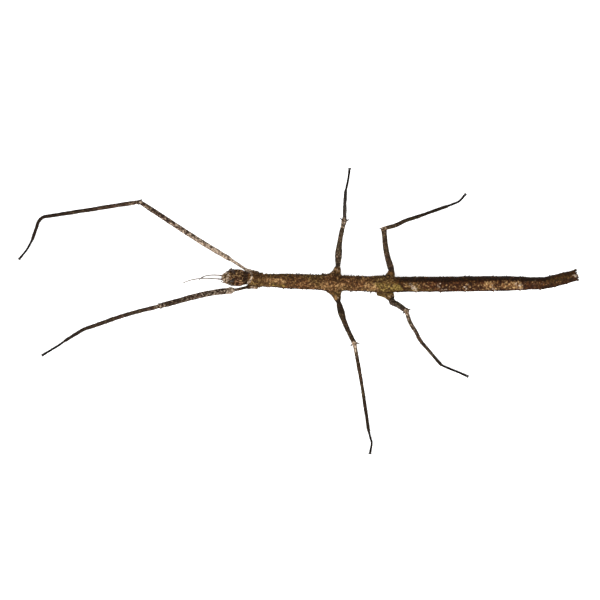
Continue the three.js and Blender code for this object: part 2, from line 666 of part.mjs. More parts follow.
function tibia(leg, bones) {
  const width = profile(TIBIAE[leg.pair].across);
  const { femur: knee, shank: bend, ankle } = bones.ends;
  const start = knee.clone().addScaledVector(bones.runs.femur, -TIBIA_OVERLAP);
  const before = TIBIA_CORNER.map((gap) => bend.clone().addScaledVector(bones.runs.shank, -gap));
  const after = TIBIA_CORNER.toReversed().map((gap) => bend.clone().addScaledVector(bones.runs.ankle, gap));
  const middle = bowed(start, before[0], leg.shank.bow, 0.5);
  const curve = new THREE.CatmullRomCurve3([start, middle, ...before, ...after, ankle]);
  const length = curve.getLength();
  const bendAt = leg.shank.length / length;
  const stops = [0, 0.06, 0.24, 0.44, bendAt - 0.06, bendAt, bendAt + 0.06, 0.94, 1 - GAP / 2 / length];
  return along(curve, stops.sort((a, b) => a - b), (fraction) => ({
    sides: 6,
    halfWidth: width(fraction),
    halfDepth: TIBIA_DEPTH * width(fraction),
    topSharpness: 1.1,
    bellySharpness: 1.1,
  }));
}

// Five small joints in a row, swollen in the middle, from the ankle down to the flat of the sole
function tarsus(bones) {
  const { ankle, foot, toes } = bones.ends;
  const heel = ankle.clone().lerp(foot, 0.6).setZ(HEEL_HEIGHT);
  const curve = new THREE.CatmullRomCurve3([ankle, heel, foot, toes]);
  const start = (GAP / 2 + 0.1) / curve.getLength();
  const ends = [...TARSOMERES, 0.96];
  const swellings = ends.slice(1).map((end, i) => (ends[i] + end) / 2);
  const fractions = [start, 0.2, ...TARSOMERES, ...swellings, 0.96].sort((a, b) => a - b);
  return onGround(along(curve, fractions, (fraction) => {
    const radius = TARSUS_RADIUS * (TARSOMERES.includes(fraction) ? 0.84 : 1.1);
    return { sides: 6, halfWidth: radius, halfDepth: radius };
  }));
}

// The last joint spreads into a round pad with a claw on each side
function padCentre({ ends, runs }) {
  return ends.toes.clone().addScaledVector(runs.toes, PAD.ahead).setZ(PAD.middle);
}

function pad(bones, grow = 0) {
  const shape = new THREE.SphereGeometry(1, 8, 5).rotateX(Math.PI / 2);
  const size = [PAD.length, PAD.width, PAD.height].map((part) => part * PAD.radius + grow);
  shape.scale(...size);
  shape.rotateZ(Math.atan2(bones.runs.toes.y, bones.runs.toes.x));
  const centre = padCentre(bones);
  return shape.translate(centre.x, centre.y, centre.z);
}

function claws(bones) {
  const hooks = [1, -1].map((which) => {
    const towards = bones.runs.toes.clone().applyAxisAngle(UP, which * radians(CLAW.splay));
    towards.setZ(-CLAW.droop).normalize();
    return spine(padCentre(bones).setZ(CLAW.height), towards, CLAW.length, CLAW.radius, 5);
  });
  return joined(onGround(pad(bones)), ...hooks.map(onGround));
}

for (const leg of LEGS) {
  const bones = skeleton(leg);
  const hosts = COXA_HOSTS[leg.pair].map((name) => trunkPlate(plateIndex(name), GAP));
  const legFinish = leg.pair === 'front' ? FINISHES.foreleg : FINISHES.leg;
  add(`coxa_${leg.name}`, cutBy(coxa(leg, bones), ...hosts), FINISHES.bark);
  const spinyFemur = joined(femur(leg, bones), ...kneeSpines(leg, bones));
  add(`femur_${leg.name}`, cutBy(spinyFemur, coxa(leg, bones, GAP)), legFinish);
  const knee = [femur(leg, bones, GAP), ...kneeSpines(leg, bones, GAP)];
  add(`tibia_${leg.name}`, cutBy(tibia(leg, bones), ...knee), legFinish);
  add(`tarsus_${leg.name}`, cutBy(tarsus(bones), pad(bones, GAP)), FINISHES.foot);
  add(`claws_${leg.name}`, claws(bones), FINISHES.foot);
}

export default insect;
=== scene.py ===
# %% [markdown]
# # A stick insect, life size
# The animal is a wingless grown female, 110 mm long, that stands still on six thin legs.
# Its solids come ready made from the CAD frame, and this script gives them their living looks:
# one skin with rings, ridges and grains, then eyes, horns, feelers, jaws and claws.
# The frame is loaded first, because every piece is placed by it.

import json
import math

import bmesh
import bpy
import numpy as np
from mathutils import Matrix, Quaternion, Vector, kdtree, noise
from mathutils.geometry import interpolate_bezier

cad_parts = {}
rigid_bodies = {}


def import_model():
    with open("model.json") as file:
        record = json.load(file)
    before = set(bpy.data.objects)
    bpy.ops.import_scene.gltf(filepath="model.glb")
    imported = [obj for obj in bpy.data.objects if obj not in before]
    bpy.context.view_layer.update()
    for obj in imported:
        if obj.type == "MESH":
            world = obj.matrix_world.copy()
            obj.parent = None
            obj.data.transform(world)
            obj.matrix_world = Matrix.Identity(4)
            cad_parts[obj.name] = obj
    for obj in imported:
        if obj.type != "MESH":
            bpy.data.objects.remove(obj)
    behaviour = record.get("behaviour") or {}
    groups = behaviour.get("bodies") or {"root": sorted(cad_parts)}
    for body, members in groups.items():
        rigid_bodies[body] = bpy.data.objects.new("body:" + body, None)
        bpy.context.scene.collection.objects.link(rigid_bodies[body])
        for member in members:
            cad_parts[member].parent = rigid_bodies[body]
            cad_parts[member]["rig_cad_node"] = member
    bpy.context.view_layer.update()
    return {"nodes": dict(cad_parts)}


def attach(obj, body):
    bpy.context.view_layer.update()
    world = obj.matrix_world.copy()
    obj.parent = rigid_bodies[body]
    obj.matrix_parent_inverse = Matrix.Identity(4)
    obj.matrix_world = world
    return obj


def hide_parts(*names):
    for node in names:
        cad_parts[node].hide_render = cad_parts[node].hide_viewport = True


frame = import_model()
BODY = "root"
MM = 0.001

# %% [markdown]
# ## Directions and smooth values
# Everything is worked out in millimetres and made smaller by a thousand at the very end, because
# Blender's mesh tools lose precision on shapes that are a tenth of a millimetre across.
# Two small helpers are used all over: a direction from two angles, and a smooth value through
# a few stops, which is how a body swells and narrows along its length.

# %% Directions and smooth values
UP = Vector((0, 0, 1))
SIDES = {"right": 1, "left": -1}


def direction(heading, pitch=0.0):
    """Unit vector with a heading from +X towards +Y and a pitch above level, in degrees."""
    turn, lift = math.radians(heading), math.radians(pitch)
    flat = math.cos(lift)
    return Vector((flat * math.cos(turn), flat * math.sin(turn), math.sin(lift)))


def sideways_of(run):
    """The level unit vector that points to the left of a direction."""
    return UP.cross(run).normalized()


def smooth(value):
    """Eases a number from 0 to 1."""
    value = min(max(value, 0.0), 1.0)
    return value * value * (3 - 2 * value)


def profile(*stops):
    """A smooth value through (place, value) stops."""

    def at(place):
        if place <= stops[0][0]:
            return stops[0][1]
        for (start, low), (end, high) in zip(stops, stops[1:]):
            if place <= end:
                return low + (high - low) * smooth((place - start) / (end - start))
        return stops[-1][1]

    return at


def profiles(table):
    """A profile for each name of a table of stops."""
    return {name: profile(*stops) for name, stops in table.items()}


def hump(value, middle, width):
    """A soft bump of height 1 around middle. It takes numbers and arrays."""
    return np.exp(-(((value - middle) / width) ** 2))


print("half way up a slope from 2 to 4:", profile((0, 2), (1, 4))(0.5))

# %% [markdown]
# ## The plates of the trunk
# A stick insect's trunk is a row of hard plates: three of the thorax and nine that show of the
# abdomen. Each has a length, a heading, a pitch and its half width and half depth, the same
# values that the CAD solids have, so that the skin lies where they lie.

# %% The plates of the trunk
AXIS_HEIGHT = 8.6
NECK = Vector((-15.0, 7.88, AXIS_HEIGHT))
TRUNK = [
    ("prothorax", 4.55, -9, 0, 2.3, 1.95),
    ("mesothorax", 24.6, -2.1, 0, 2.36, 2.05),
    ("metathorax", 16.7, -1.5, 0, 2.42, 2.05),
    ("abdomen_2", 6.5, 0.9, 0, 2.42, 2.05),
    ("abdomen_3", 7.6, 0, 0, 2.44, 2.1),
    ("abdomen_4", 7.6, 0.7, 0, 2.38, 2.1),
    ("abdomen_5", 8.8, 0.8, 0, 2.4, 2.05),
    ("abdomen_6", 8.35, 0.2, 0, 2.32, 2.0),
    ("abdomen_7", 6.05, 0, 0, 2.0, 1.8),
    ("abdomen_8", 4.25, 9.4, 2.7, 1.88, 1.6),
    ("abdomen_9", 3.65, 14, 7.8, 1.9, 1.5),
    ("abdomen_10", 3.5, 13.6, 11.4, 1.82, 1.4),
]
PLATE_RUNS = [direction(heading, pitch) for _, _, heading, pitch, _, _ in TRUNK]
PLATE_STARTS = [0.0]
PLATE_JOINTS = [NECK.copy()]
for (_, length, *_), run in zip(TRUNK, PLATE_RUNS):
    PLATE_STARTS.append(PLATE_STARTS[-1] + length)
    PLATE_JOINTS.append(PLATE_JOINTS[-1] + run * length)
TRUNK_LENGTH = PLATE_STARTS[-1]
JOINT_RUNS = [
    (PLATE_RUNS[max(i - 1, 0)] + PLATE_RUNS[min(i, len(TRUNK) - 1)]).normalized()
    for i in range(len(TRUNK) + 1)
]


def plate_at(distance):
    """The plate under a distance from the neck, and how far along that plate it is."""
    index = 0
    while index < len(TRUNK) - 1 and distance > PLATE_STARTS[index + 1]:
        index += 1
    return index, (distance - PLATE_STARTS[index]) / TRUNK[index][1]


def trunk_at(distance):
    """Point and direction of the trunk's centre line at a distance from the neck."""
    index, share = plate_at(distance)
    nearest = JOINT_RUNS[index] if share < 0.5 else JOINT_RUNS[index + 1]
    turning = (2 * share - 1) ** 2
    tangent = PLATE_RUNS[index].lerp(nearest, min(turning, 1)).normalized()
    return PLATE_JOINTS[index] + PLATE_RUNS[index] * (share * TRUNK[index][1]), tangent


print(f"trunk: {len(TRUNK)} plates, {TRUNK_LENGTH:.1f} mm")

# %% [markdown]
# ## Width and depth along the trunk
# Each plate is a little wider in the middle or at its rims. The rims of the abdomen stand proud,
# the pronotum has a narrow neck, and the thorax flares where the legs leave it. Between two
# plates lies a fine groove: a hard skin can only bend where it is thin.

# %% Width and depth along the trunk
RIM = 0.13
GROOVE_DEPTH = 0.17
GROOVE_WIDTH = 0.2
SKIN_INSET = 0.02  # the skin lies this far inside the solids, and its grains reach them
THORAX_INSET = 0.07  # more where the granules are tall
SWELL_SHARES = ((4, 1.0), (5, 0.5))  # how much of a swell goes into each size column of TRUNK

RIM_SWELL = profile((0, 0), (0.05, RIM), (0.14, 0), (0.86, 0), (0.95, RIM), (1, 0.3 * RIM))
PLATE_SWELL = {
    "prothorax": profile(
        (0, -0.45), (0.1, -0.4), (0.14, 0.05), (0.24, 0), (0.8, -0.05), (0.9, 0.12), (1, -0.3)
    ),
    "mesothorax": profile((0, -0.25), (0.12, -0.25), (0.3, 0), (0.7, 0.06), (0.88, 0.5), (1, 0.1)),
    "metathorax": profile((0, 0.1), (0.08, 0.02), (0.45, 0), (0.78, 0.45), (1, 0)),
}


def trunk_size(distance):
    """Half width and half depth of the trunk at a distance from the neck."""
    index, share = plate_at(distance)
    name = TRUNK[index][0]
    swell = PLATE_SWELL.get(name, RIM_SWELL)(share)
    before, after = TRUNK[max(index - 1, 0)], TRUNK[min(index + 1, len(TRUNK) - 1)]
    sizes = []
    inset = SKIN_INSET if name.startswith("abdomen") else THORAX_INSET
    for column, share_of_swell in SWELL_SHARES:
        here = TRUNK[index][column]
        start, end = ((other[column] + here) / 2 for other in (before, after))
        blend = profile((0, start), (0.5, here), (1, end))
        sizes.append(blend(share) + share_of_swell * swell - inset)
    groove = sum(hump(distance, start, GROOVE_WIDTH) for start in PLATE_STARTS[1:-1])
    return [size - GROOVE_DEPTH * groove for size in sizes]


print("half width and depth at mid thorax:", [round(v, 2) for v in trunk_size(17)])

# %% [markdown]
# ## Paths
# Legs and feelers follow smooth curves through a few points. Blender's own Bezier helper gives
# the points between, once the handles are worked out so that the curve never kinks, and the
# path is then cut into even steps, so that the rings of a tube are evenly spaced.

# %% Paths
CURVE_POINTS = 40  # between two given points, before the path is cut into even steps


def path_through(points, step):
    """Evenly spaced points on a smooth curve through the given ones."""
    held = [2 * points[0] - points[1], *points, 2 * points[-1] - points[-2]]
    dense = []
    for before, here, there, after in zip(held, held[1:], held[2:], held[3:]):
        pairs = ((before, here), (here, there), (there, after))
        d0, d1, d2 = (math.sqrt((b - a).length) for a, b in pairs)
        leave = (here - before) / d0 - (there - before) / (d0 + d1) + (there - here) / d1
        arrive = (there - here) / d1 - (after - here) / (d1 + d2) + (after - there) / d2
        handles = here + leave * d1 / 3, there - arrive * d1 / 3
        dense += interpolate_bezier(here, *handles, there, CURVE_POINTS)[:-1]
    dense = np.array([*dense, points[-1]])
    travelled = np.concatenate([[0], np.cumsum(np.linalg.norm(np.diff(dense, axis=0), axis=1))])
    wanted = np.linspace(0, travelled[-1], max(int(travelled[-1] / step), 2) + 1)
    return [Vector(p) for p in zip(*(np.interp(wanted, travelled, dense[:, k]) for k in range(3)))]


def runs_along(path):
    """The direction of travel at each point of a path."""
    ends = zip([path[0], *path], [*path[1:], path[-1]])
    return [(after - before).normalized() for before, after in ends]


# %% [markdown]
# ## Tubes
# A trunk, a leg and a feeler are all tubes whose rings change along a path. In Blender a tube is
# one circle that is extruded ring by ring, and every ring is placed by a matrix. Raising the
# ring's sine to a power above 1 draws its top into a roof, and below 1 makes it boxy. A new
# ring inherits the layers of the old one, so each vert knows its part, how far along the part
# it is and its angle round it. The skin is shaped and painted by these three numbers.

# %% Tubes
RING = {"roll": 0, "roof": 1, "belly": 1, "lift": 0, "ribs": 0, "rib_height": 0}
SMOOTH_LOSS = 0.032  # smoothing the skin later draws a tube in by this over its radius


def new_mesh():
    """An empty bmesh with the three layers that tubes note their places in."""
    mesh = bmesh.new()
    mesh.verts.layers.int.new("part")
    mesh.verts.layers.float.new("along")
    mesh.verts.layers.float.new("around")
    return mesh


def bent(value, power):
    return math.copysign(abs(value) ** power, value)


def round_ring(radius):
    return {"wide": radius, "deep": radius}


def add_tube(whole, path, shape, sides, part=0, place=lambda share: share, runs=None, loss=0):
    """Extrudes a circle along path. shape(share) gives each ring's width, depth and form."""
    mesh = new_mesh()
    part_layer = mesh.verts.layers.int["part"]
    along_layer = mesh.verts.layers.float["along"]
    around_layer = mesh.verts.layers.float["around"]
    ring = bmesh.ops.create_circle(mesh, segments=sides, radius=1)["verts"]
    rim = list({edge for vert in ring for edge in vert.link_edges})
    for vert in ring:
        vert[part_layer] = part
        vert[around_layer] = math.atan2(vert.co.y, vert.co.x)
    for i, (point, run) in enumerate(zip(path, runs or runs_along(path))):
        if i:
            made = bmesh.ops.extrude_edge_only(mesh, edges=rim)["geom"]
            ring = [item for item in made if isinstance(item, bmesh.types.BMVert)]
            fresh = set(ring)
            edges = [item for item in made if isinstance(item, bmesh.types.BMEdge)]
            rim = [edge for edge in edges if fresh.issuperset(edge.verts)]
        share = i / (len(path) - 1)
        look = RING | shape(share)
        wide, deep = (look[size] + loss / look[size] for size in ("wide", "deep"))
        side = sideways_of(run)
        side.rotate(Quaternion(run, math.radians(look["roll"])))
        top = run.cross(side)
        for vert in ring:
            angle = vert[around_layer]
            across, above = math.cos(angle), math.sin(angle)
            power = look["roof"] if above > 0 else look["belly"]
            swell = 1 + look["rib_height"] * math.cos(look["ribs"] * angle)
            out = side * (bent(across, power) * wide * swell)
            up = top * (bent(above, power) * deep * swell + look["lift"])
            vert.co = point + out + up
            vert[along_layer] = place(share)
    bmesh.ops.holes_fill(mesh, edges=mesh.edges, sides=0)
    bmesh.ops.recalc_face_normals(mesh, faces=mesh.faces)
    tube = bpy.data.meshes.new("tube")
    mesh.to_mesh(tube)
    mesh.free()
    whole.from_mesh(tube)
    bpy.data.meshes.remove(tube)


# %% [markdown]
# ## The cage of the trunk
# A walking stick's back is no round tube: it is roofed like a split twig, with a fine keel
# along the middle, so that light from one side leaves the other slope dark. The belly is
# flatter. This cage has a ring about every fifth of a millimetre.

# %% The cage of the trunk
TRUNK_PART, HEAD_PART = 0, 1
TRUNK_STEP = 0.22
TRUNK_SIDES = 48
END_GAP = 0.07
THORAX_ROOF, ABDOMEN_ROOF, BELLY = 1.2, 1.5, 0.88

cage = new_mesh()
stations = np.linspace(END_GAP, TRUNK_LENGTH - END_GAP, int(TRUNK_LENGTH / TRUNK_STEP))


def trunk_place(share):
    """How far from the neck a ring is."""
    return END_GAP + share * (TRUNK_LENGTH - 2 * END_GAP)


def trunk_ring(share):
    distance = trunk_place(share)
    wide, deep = trunk_size(distance)
    backward = smooth((distance - PLATE_STARTS[2]) / TRUNK[2][1])
    roof = THORAX_ROOF + (ABDOMEN_ROOF - THORAX_ROOF) * backward
    return {"wide": wide, "deep": deep, "roof": roof, "belly": BELLY}


trunk_points, trunk_runs = zip(*(trunk_at(distance) for distance in stations))
add_tube(cage, trunk_points, trunk_ring, TRUNK_SIDES, TRUNK_PART, trunk_place, trunk_runs, SMOOTH_LOSS)
print("trunk cage:", len(cage.verts), "verts")

# %% [markdown]
# ## The head
# The head is a flat egg, blunt behind and pointed at the lip, that hangs a little forward of
# the neck. It is a tube too, with a short neck that runs back inside the collar of the
# pronotum, as the real neck skin does.

# %% The head
HEAD_LENGTH = 8.2
HEAD_FORWARD = direction(178.2, -2.8)
HEAD_RIGHT = HEAD_FORWARD.cross(UP).normalized()
HEAD_TOP = HEAD_RIGHT.cross(HEAD_FORWARD)
HEAD_WIDTH = profile(
    (0, 1.7), (0.1, 2.1), (0.32, 2.68), (0.58, 2.66), (0.78, 2.12), (0.92, 1.35), (1, 0.75)
)
HEAD_DEPTH = profile(
    (0, 1.6), (0.1, 1.8), (0.32, 2.05), (0.6, 1.95), (0.8, 1.55), (0.92, 1.15), (1, 0.7)
)
HEAD_LIFT = profile((0, 0), (0.5, 0.05), (1, -0.25))
HEAD_STEP, HEAD_SIDES = 0.2, 40
NECK_REACH, NECK_STEP, NECK_SIDES = (-1.4, 0, 1.2), 0.25, 24
NECK_SIZE = {"wide": 1.35, "deep": 1.25}
EYE_PLACE = (5.35, 2.22, 0.75)
EYE_RADIUS = 0.62


def in_head(forward, out, up, side=1):
    """A place in the head's own frame: forward from the neck, out to one side, up."""
    return NECK + HEAD_FORWARD * forward + HEAD_RIGHT * (side * out) + HEAD_TOP * up


def head_path(places, step, side=1):
    """A smooth path through places in the head's own frame, on one of its sides."""
    return path_through([in_head(*place, side) for place in places], step)


def head_ring(share):
    return {
        "wide": HEAD_WIDTH(share) - SKIN_INSET,
        "deep": HEAD_DEPTH(share) - SKIN_INSET,
        "lift": HEAD_LIFT(share),
        "roof": 1.0,
        "belly": 0.9,
    }


skull = head_path([(forward, 0, 0) for forward in (END_GAP, 4, HEAD_LENGTH)], HEAD_STEP)
add_tube(cage, skull, head_ring, HEAD_SIDES, HEAD_PART, loss=SMOOTH_LOSS)
neck = head_path([(forward, 0, 0) for forward in NECK_REACH], NECK_STEP)
add_tube(cage, neck, lambda share: NECK_SIZE, NECK_SIDES, HEAD_PART, lambda share: 0)
print("head and trunk cage:", len(cage.verts), "verts")

# %% [markdown]
# ## How the legs stand
# Each leg is a chain: coxa, femur, a tibia with a bend near its end, and a foot. It is given
# as headings that turn outwards from straight back (0) over the side (90) to straight ahead
# (180), true lengths, and the height that each run ends at. A bow bends a run sideways. The
# left and right legs of a pair aren't quite alike, as in most grown animals.

# %% How the legs stand
# A coxa's root and tip beside the trunk, then its half widths and its half depths at both
COXAE = {
    "front": ((2.9, 1.5, -1), (-0.28, 2.65, -1.3), (1.3, 0.6), (1.1, 0.53)),
    "middle": ((26.9, 1.2, -0.8), (27.95, 5.6, -1.35), (2.9, 0.72), (1.4, 0.68)),
    "hind_right": ((43.6, 1, -0.9), (44.65, 4.5, -1.5), (2.7, 0.9), (1.3, 0.76)),
    "hind_left": ((42.4, 1.1, -0.9), (44.65, 4.5, -1.5), (3.3, 0.95), (1.3, 0.76)),
}
COXA_TAPER = profile(
    (0, 1), (0.2, 1), (0.35, 0.66), (0.5, 0.42), (0.65, 0.26), (0.85, 0.18), (1, 0)
)
FLAT = 0.22  # height of the foot's last two joints
LEGS = {
    "front_right": {
        "roll": 8, "bows": (0.2, 0), "base_bow": -0.1, "lengths": (40.2, 35.2, 7.5, 3.9, 3.2),
        "headings": (150.6, 181.8, 247, 239, 233), "heights": (20, 5, 1.4),
    },
    "front_left": {
        "roll": 68, "bows": (-0.65, -0.45), "base_bow": 0.05, "lengths": (36.4, 33.6, 8.7, 3.3, 4.8),
        "headings": (155.7, 176.3, 159, 149.4, 147.8), "heights": (30, 7, 1.4),
    },
    "middle_right": {
        "roll": 35, "bows": (0.5, 0), "base_bow": 0, "lengths": (19.9, 17.7, 9.7, 4.7, 3.0),
        "headings": (80.4, 87.5, 86.3, 79, 82.5), "heights": (24, 9, 1.4),
    },
    "middle_left": {
        "roll": 20, "bows": (-0.5, 0), "base_bow": 0, "lengths": (19.4, 14.2, 14.4, 3.8, 3.0),
        "headings": (73, 78.4, 80.3, 75, 99), "heights": (17, 9, 1.4),
    },
    "hind_right": {
        "roll": 25, "bows": (0.55, -0.35), "base_bow": 0, "lengths": (14.4, 12.5, 13.6, 4.5, 2.8),
        "headings": (102.1, 25.5, 28, 26.2, 48), "heights": (14, 8, 1.4),
    },
    "hind_left": {
        "roll": 25, "bows": (-0.2, -0.45), "base_bow": -0.6, "lengths": (14.7, 12.4, 12.5, 5.8, 2.8),
        "headings": (59.7, 57.6, 40.6, 20, 24.8), "heights": (19.5, 10, 1.6),
    },
}


def beside_trunk(offset, side):
    """A place given as along the trunk from the neck, out to one side, and up."""
    distance, out, up = offset
    return trunk_at(distance)[0] + Vector((0, out * side, up))


def leg_joints(leg):
    """The joints of a leg from the coxa's root to the toes, and the direction of each run."""
    joints = [beside_trunk(end, leg["side"]) for end in leg["coxa"][:2]]
    runs = []
    heights = (*leg["heights"], FLAT, FLAT)
    for length, heading, height in zip(leg["lengths"], leg["headings"], heights):
        pitch = math.degrees(math.asin((height - joints[-1].z) / length))
        runs.append(direction(heading * leg["side"], pitch))
        joints.append(joints[-1] + runs[-1] * length)
    return joints, runs


for name, leg in LEGS.items():
    leg["pair"], word = name.split("_")
    leg["side"] = SIDES[word]
    leg["coxa"] = COXAE.get(name) or COXAE[leg["pair"]]
    leg["joints"], leg["runs"] = leg_joints(leg)
    print(f"{name}: knee at {[round(v, 1) for v in leg['joints'][2]]}")

# %% [markdown]
# ## The tubes of the legs
# The coxa is a cone out of the trunk. The fore femur starts as a thin curved stalk, which lets
# the insect fold its fore legs round its head, and then widens at once. The middle femora have
# swollen roots. The tibiae are thinnest past their middle, and a foot is a row of five small
# joints. Fine ribs run along each leg.

# %% The tubes of the legs
FEMUR_WIDTHS = profiles({
    "front": [(0, 0.4), (0.14, 0.44), (0.19, 0.72), (0.4, 0.78), (0.9, 0.74), (1, 0.64)],
    "middle": [
        (0, 0.64), (0.12, 0.95), (0.27, 1.1), (0.42, 0.82), (0.7, 0.7), (0.88, 0.7), (0.96, 0.85),
        (1, 0.68),
    ],
    "hind": [(0, 0.84), (0.12, 1.04), (0.35, 0.88), (0.7, 0.8), (0.88, 0.82), (0.96, 0.92), (1, 0.7)],
})
FEMUR_DEPTHS = profiles({
    "front": [
        (0, 0.42), (0.14, 0.46), (0.19, 1.02), (0.26, 0.94), (0.4, 0.92), (0.9, 0.86), (1, 0.78)
    ],
    "middle": [(0, 0.66), (0.12, 1), (0.27, 1.12), (0.42, 0.88), (0.7, 0.76), (0.93, 0.8), (1, 0.68)],
    "hind": [(0, 0.68), (0.12, 1), (0.35, 0.9), (0.7, 0.82), (0.93, 0.86), (1, 0.7)],
})
TIBIA_WIDTHS = profiles({
    "front": [(0, 0.56), (0.06, 0.65), (0.5, 0.63), (0.85, 0.52), (1, 0.46)],
    "middle": [(0, 0.5), (0.06, 0.58), (0.3, 0.56), (0.7, 0.5), (0.93, 0.48), (1, 0.5)],
    "hind": [(0, 0.54), (0.06, 0.62), (0.4, 0.58), (0.7, 0.5), (0.9, 0.47), (1, 0.45)],
})
FEMUR_FORM = {"roof": 1.15, "belly": 0.95, "ribs": 5, "rib_height": 0.05}
TIBIA_FORM = {"roof": 1.1, "belly": 1.1, "ribs": 4, "rib_height": 0.05}
TIBIA_CORNER = 3.2, 1.3  # it is straight to here, and then cuts the corner at its bend
TIBIA_DEPTH = 1.1
TARSUS_RADIUS = 0.3
FOOT_JOINTS = (0.2, 0.42, 0.57, 0.7, 0.81)
JOINT_WIDTH = 0.022
HEEL_PLACE, HEEL_HEIGHT = 0.6, 0.5
LEG_STEP, FOOT_STEP = 0.3, 0.15
COXA_SIDES, FEMUR_SIDES, TIBIA_SIDES, FOOT_SIDES = 24, 20, 16, 12
JOINT_OVERLAP = 0.45


def bowed(start, end, bow, share):
    """A point part of the way along a run, pushed out sideways."""
    return start.lerp(end, share) + sideways_of(end - start) * bow


def add_leg(mesh, leg, part):
    """Coxa, femur, tibia and foot of one leg. Places along it run from -1 at the root to 3."""
    root, hip, knee, bend, ankle, foot, toes = leg["joints"]

    def coxa_ring(share):
        taper = COXA_TAPER(share)
        wide, deep = (tip + (base - tip) * taper for base, tip in leg["coxa"][2:])
        return {"wide": wide - SKIN_INSET, "deep": deep - SKIN_INSET}

    upper = path_through([root, root.lerp(hip, 0.5), hip], LEG_STEP)
    add_tube(mesh, upper, coxa_ring, COXA_SIDES, part, lambda share: share - 1, loss=SMOOTH_LOSS)

    def femur_ring(share):
        wide, deep = (table[leg["pair"]](share) for table in (FEMUR_WIDTHS, FEMUR_DEPTHS))
        return FEMUR_FORM | {"wide": wide, "deep": deep, "roll": leg["roll"]}

    points = [hip, bowed(hip, knee, leg["bows"][0], 0.45), knee]
    if leg["base_bow"]:
        points.insert(1, bowed(hip, knee, leg["base_bow"], 0.12))
    thigh = path_through(points, LEG_STEP)
    add_tube(mesh, thigh, femur_ring, FEMUR_SIDES, part, loss=SMOOTH_LOSS)

    shin_start = knee - leg["runs"][0] * JOINT_OVERLAP
    before = [bend - leg["runs"][1] * gap for gap in TIBIA_CORNER]
    after = [bend + leg["runs"][2] * gap for gap in reversed(TIBIA_CORNER)]
    middle = bowed(shin_start, before[0], leg["bows"][1], 0.5)
    shin = path_through([shin_start, middle, *before, *after, ankle], LEG_STEP)

    def tibia_ring(share):
        width = TIBIA_WIDTHS[leg["pair"]](share)
        return TIBIA_FORM | {"wide": width, "deep": TIBIA_DEPTH * width}

    add_tube(mesh, shin, tibia_ring, TIBIA_SIDES, part, lambda share: 1 + share, loss=SMOOTH_LOSS)

    heel = ankle.lerp(foot, HEEL_PLACE)
    heel.z = HEEL_HEIGHT
    sole = path_through([shin[-1], heel, foot, toes], FOOT_STEP)

    def foot_ring(share):
        waist = sum(hump(share, joint, JOINT_WIDTH) for joint in FOOT_JOINTS)
        last = smooth((share - FOOT_JOINTS[-1]) / (1 - FOOT_JOINTS[-1]))
        return round_ring(TARSUS_RADIUS * (1.08 - 0.3 * waist + 0.12 * last))

    add_tube(mesh, sole, foot_ring, FOOT_SIDES, part, lambda share: 2 + share, loss=SMOOTH_LOSS)


LEG_PARTS = {name: 2 + i for i, name in enumerate(LEGS)}
for name, leg in LEGS.items():
    add_leg(cage, leg, LEG_PARTS[name])
print("whole cage:", len(cage.verts), "verts,", len(cage.faces), "faces")

# %% [markdown]
# ## One skin
# The tubes still pass through each other at hips, knees and neck. A voxel remesh melts them into
# one closed skin: it asks of every small cube whether it is inside or out, and wraps the result
# in even quads, with soft fillets where a leg leaves the body. A little smoothing takes the
# steps of the cubes away. Each vert then looks up its part and place from the nearest cage vert.

# %% One skin
VOXEL = 0.218
SMOOTHING = 3


def add_object(name, data):
    """A new object of the scene for a mesh, a lamp or a camera."""
    made = bpy.data.objects.new(name, data)
    bpy.context.scene.collection.objects.link(made)
    return made


def object_from(mesh, name):
    """An object from a bmesh, which is freed."""
    data = bpy.data.meshes.new(name)
    mesh.to_mesh(data)
    mesh.free()
    return add_object(name, data)


def apply_modifiers(made):
    """Replaces an object's mesh by the one its modifiers give."""
    evaluated = made.evaluated_get(bpy.context.evaluated_depsgraph_get())
    result = bpy.data.meshes.new_from_object(evaluated)
    made.modifiers.clear()
    old, made.data = made.data, result
    bpy.data.meshes.remove(old)
    result.name = made.name


def read(items, word, width, kind=np.float32):
    """A property of all verts, loops or faces, as an array with a row for each."""
    values = np.zeros(len(items) * width, kind)
    items.foreach_get(word, values)
    return values.reshape(-1, width)


layers = [cage.verts.layers.int["part"]]
layers += [cage.verts.layers.float[word] for word in ("along", "around")]
cage_notes = np.array([[vert[layer] for layer in layers] for vert in cage.verts])
nearest_note = kdtree.KDTree(len(cage.verts))
for index, vert in enumerate(cage.verts):
    nearest_note.insert(vert.co, index)
nearest_note.balance()

skin = object_from(cage, "skin")
remesh = skin.modifiers.new("melt together", "REMESH")
remesh.mode, remesh.voxel_size, remesh.use_smooth_shade = "VOXEL", VOXEL, True
apply_modifiers(skin)
shell = bmesh.new()
shell.from_mesh(skin.data)
for _ in range(SMOOTHING):
    axes = {f"use_axis_{letter}": True for letter in "xyz"}
    bmesh.ops.smooth_vert(shell, verts=shell.verts, factor=0.5, **axes)
shell.to_mesh(skin.data)
shell.free()
count = len(skin.data.vertices)
points, normals = (read(skin.data.vertices, word, 3).astype(float) for word in ("co", "normal"))
notes = cage_notes[[nearest_note.find(point)[1] for point in points]]
part, along, around = notes.T
print("skin:", count, "verts,", len(skin.data.polygons), "quads")

# %% [markdown]
# ## Grains, ridges and furrows
# The cuticle is granular like bark. The wider grains can be moved into the skin itself: Voronoi
# cells give every grain a centre, and the nearness of a vert to its centre lifts it. The keel,
# the collar, the brow between the horns, the rims of the rings and the sockets of the eyes are
# soft humps in the same sum. All of it is one height per vert, in millimetres.

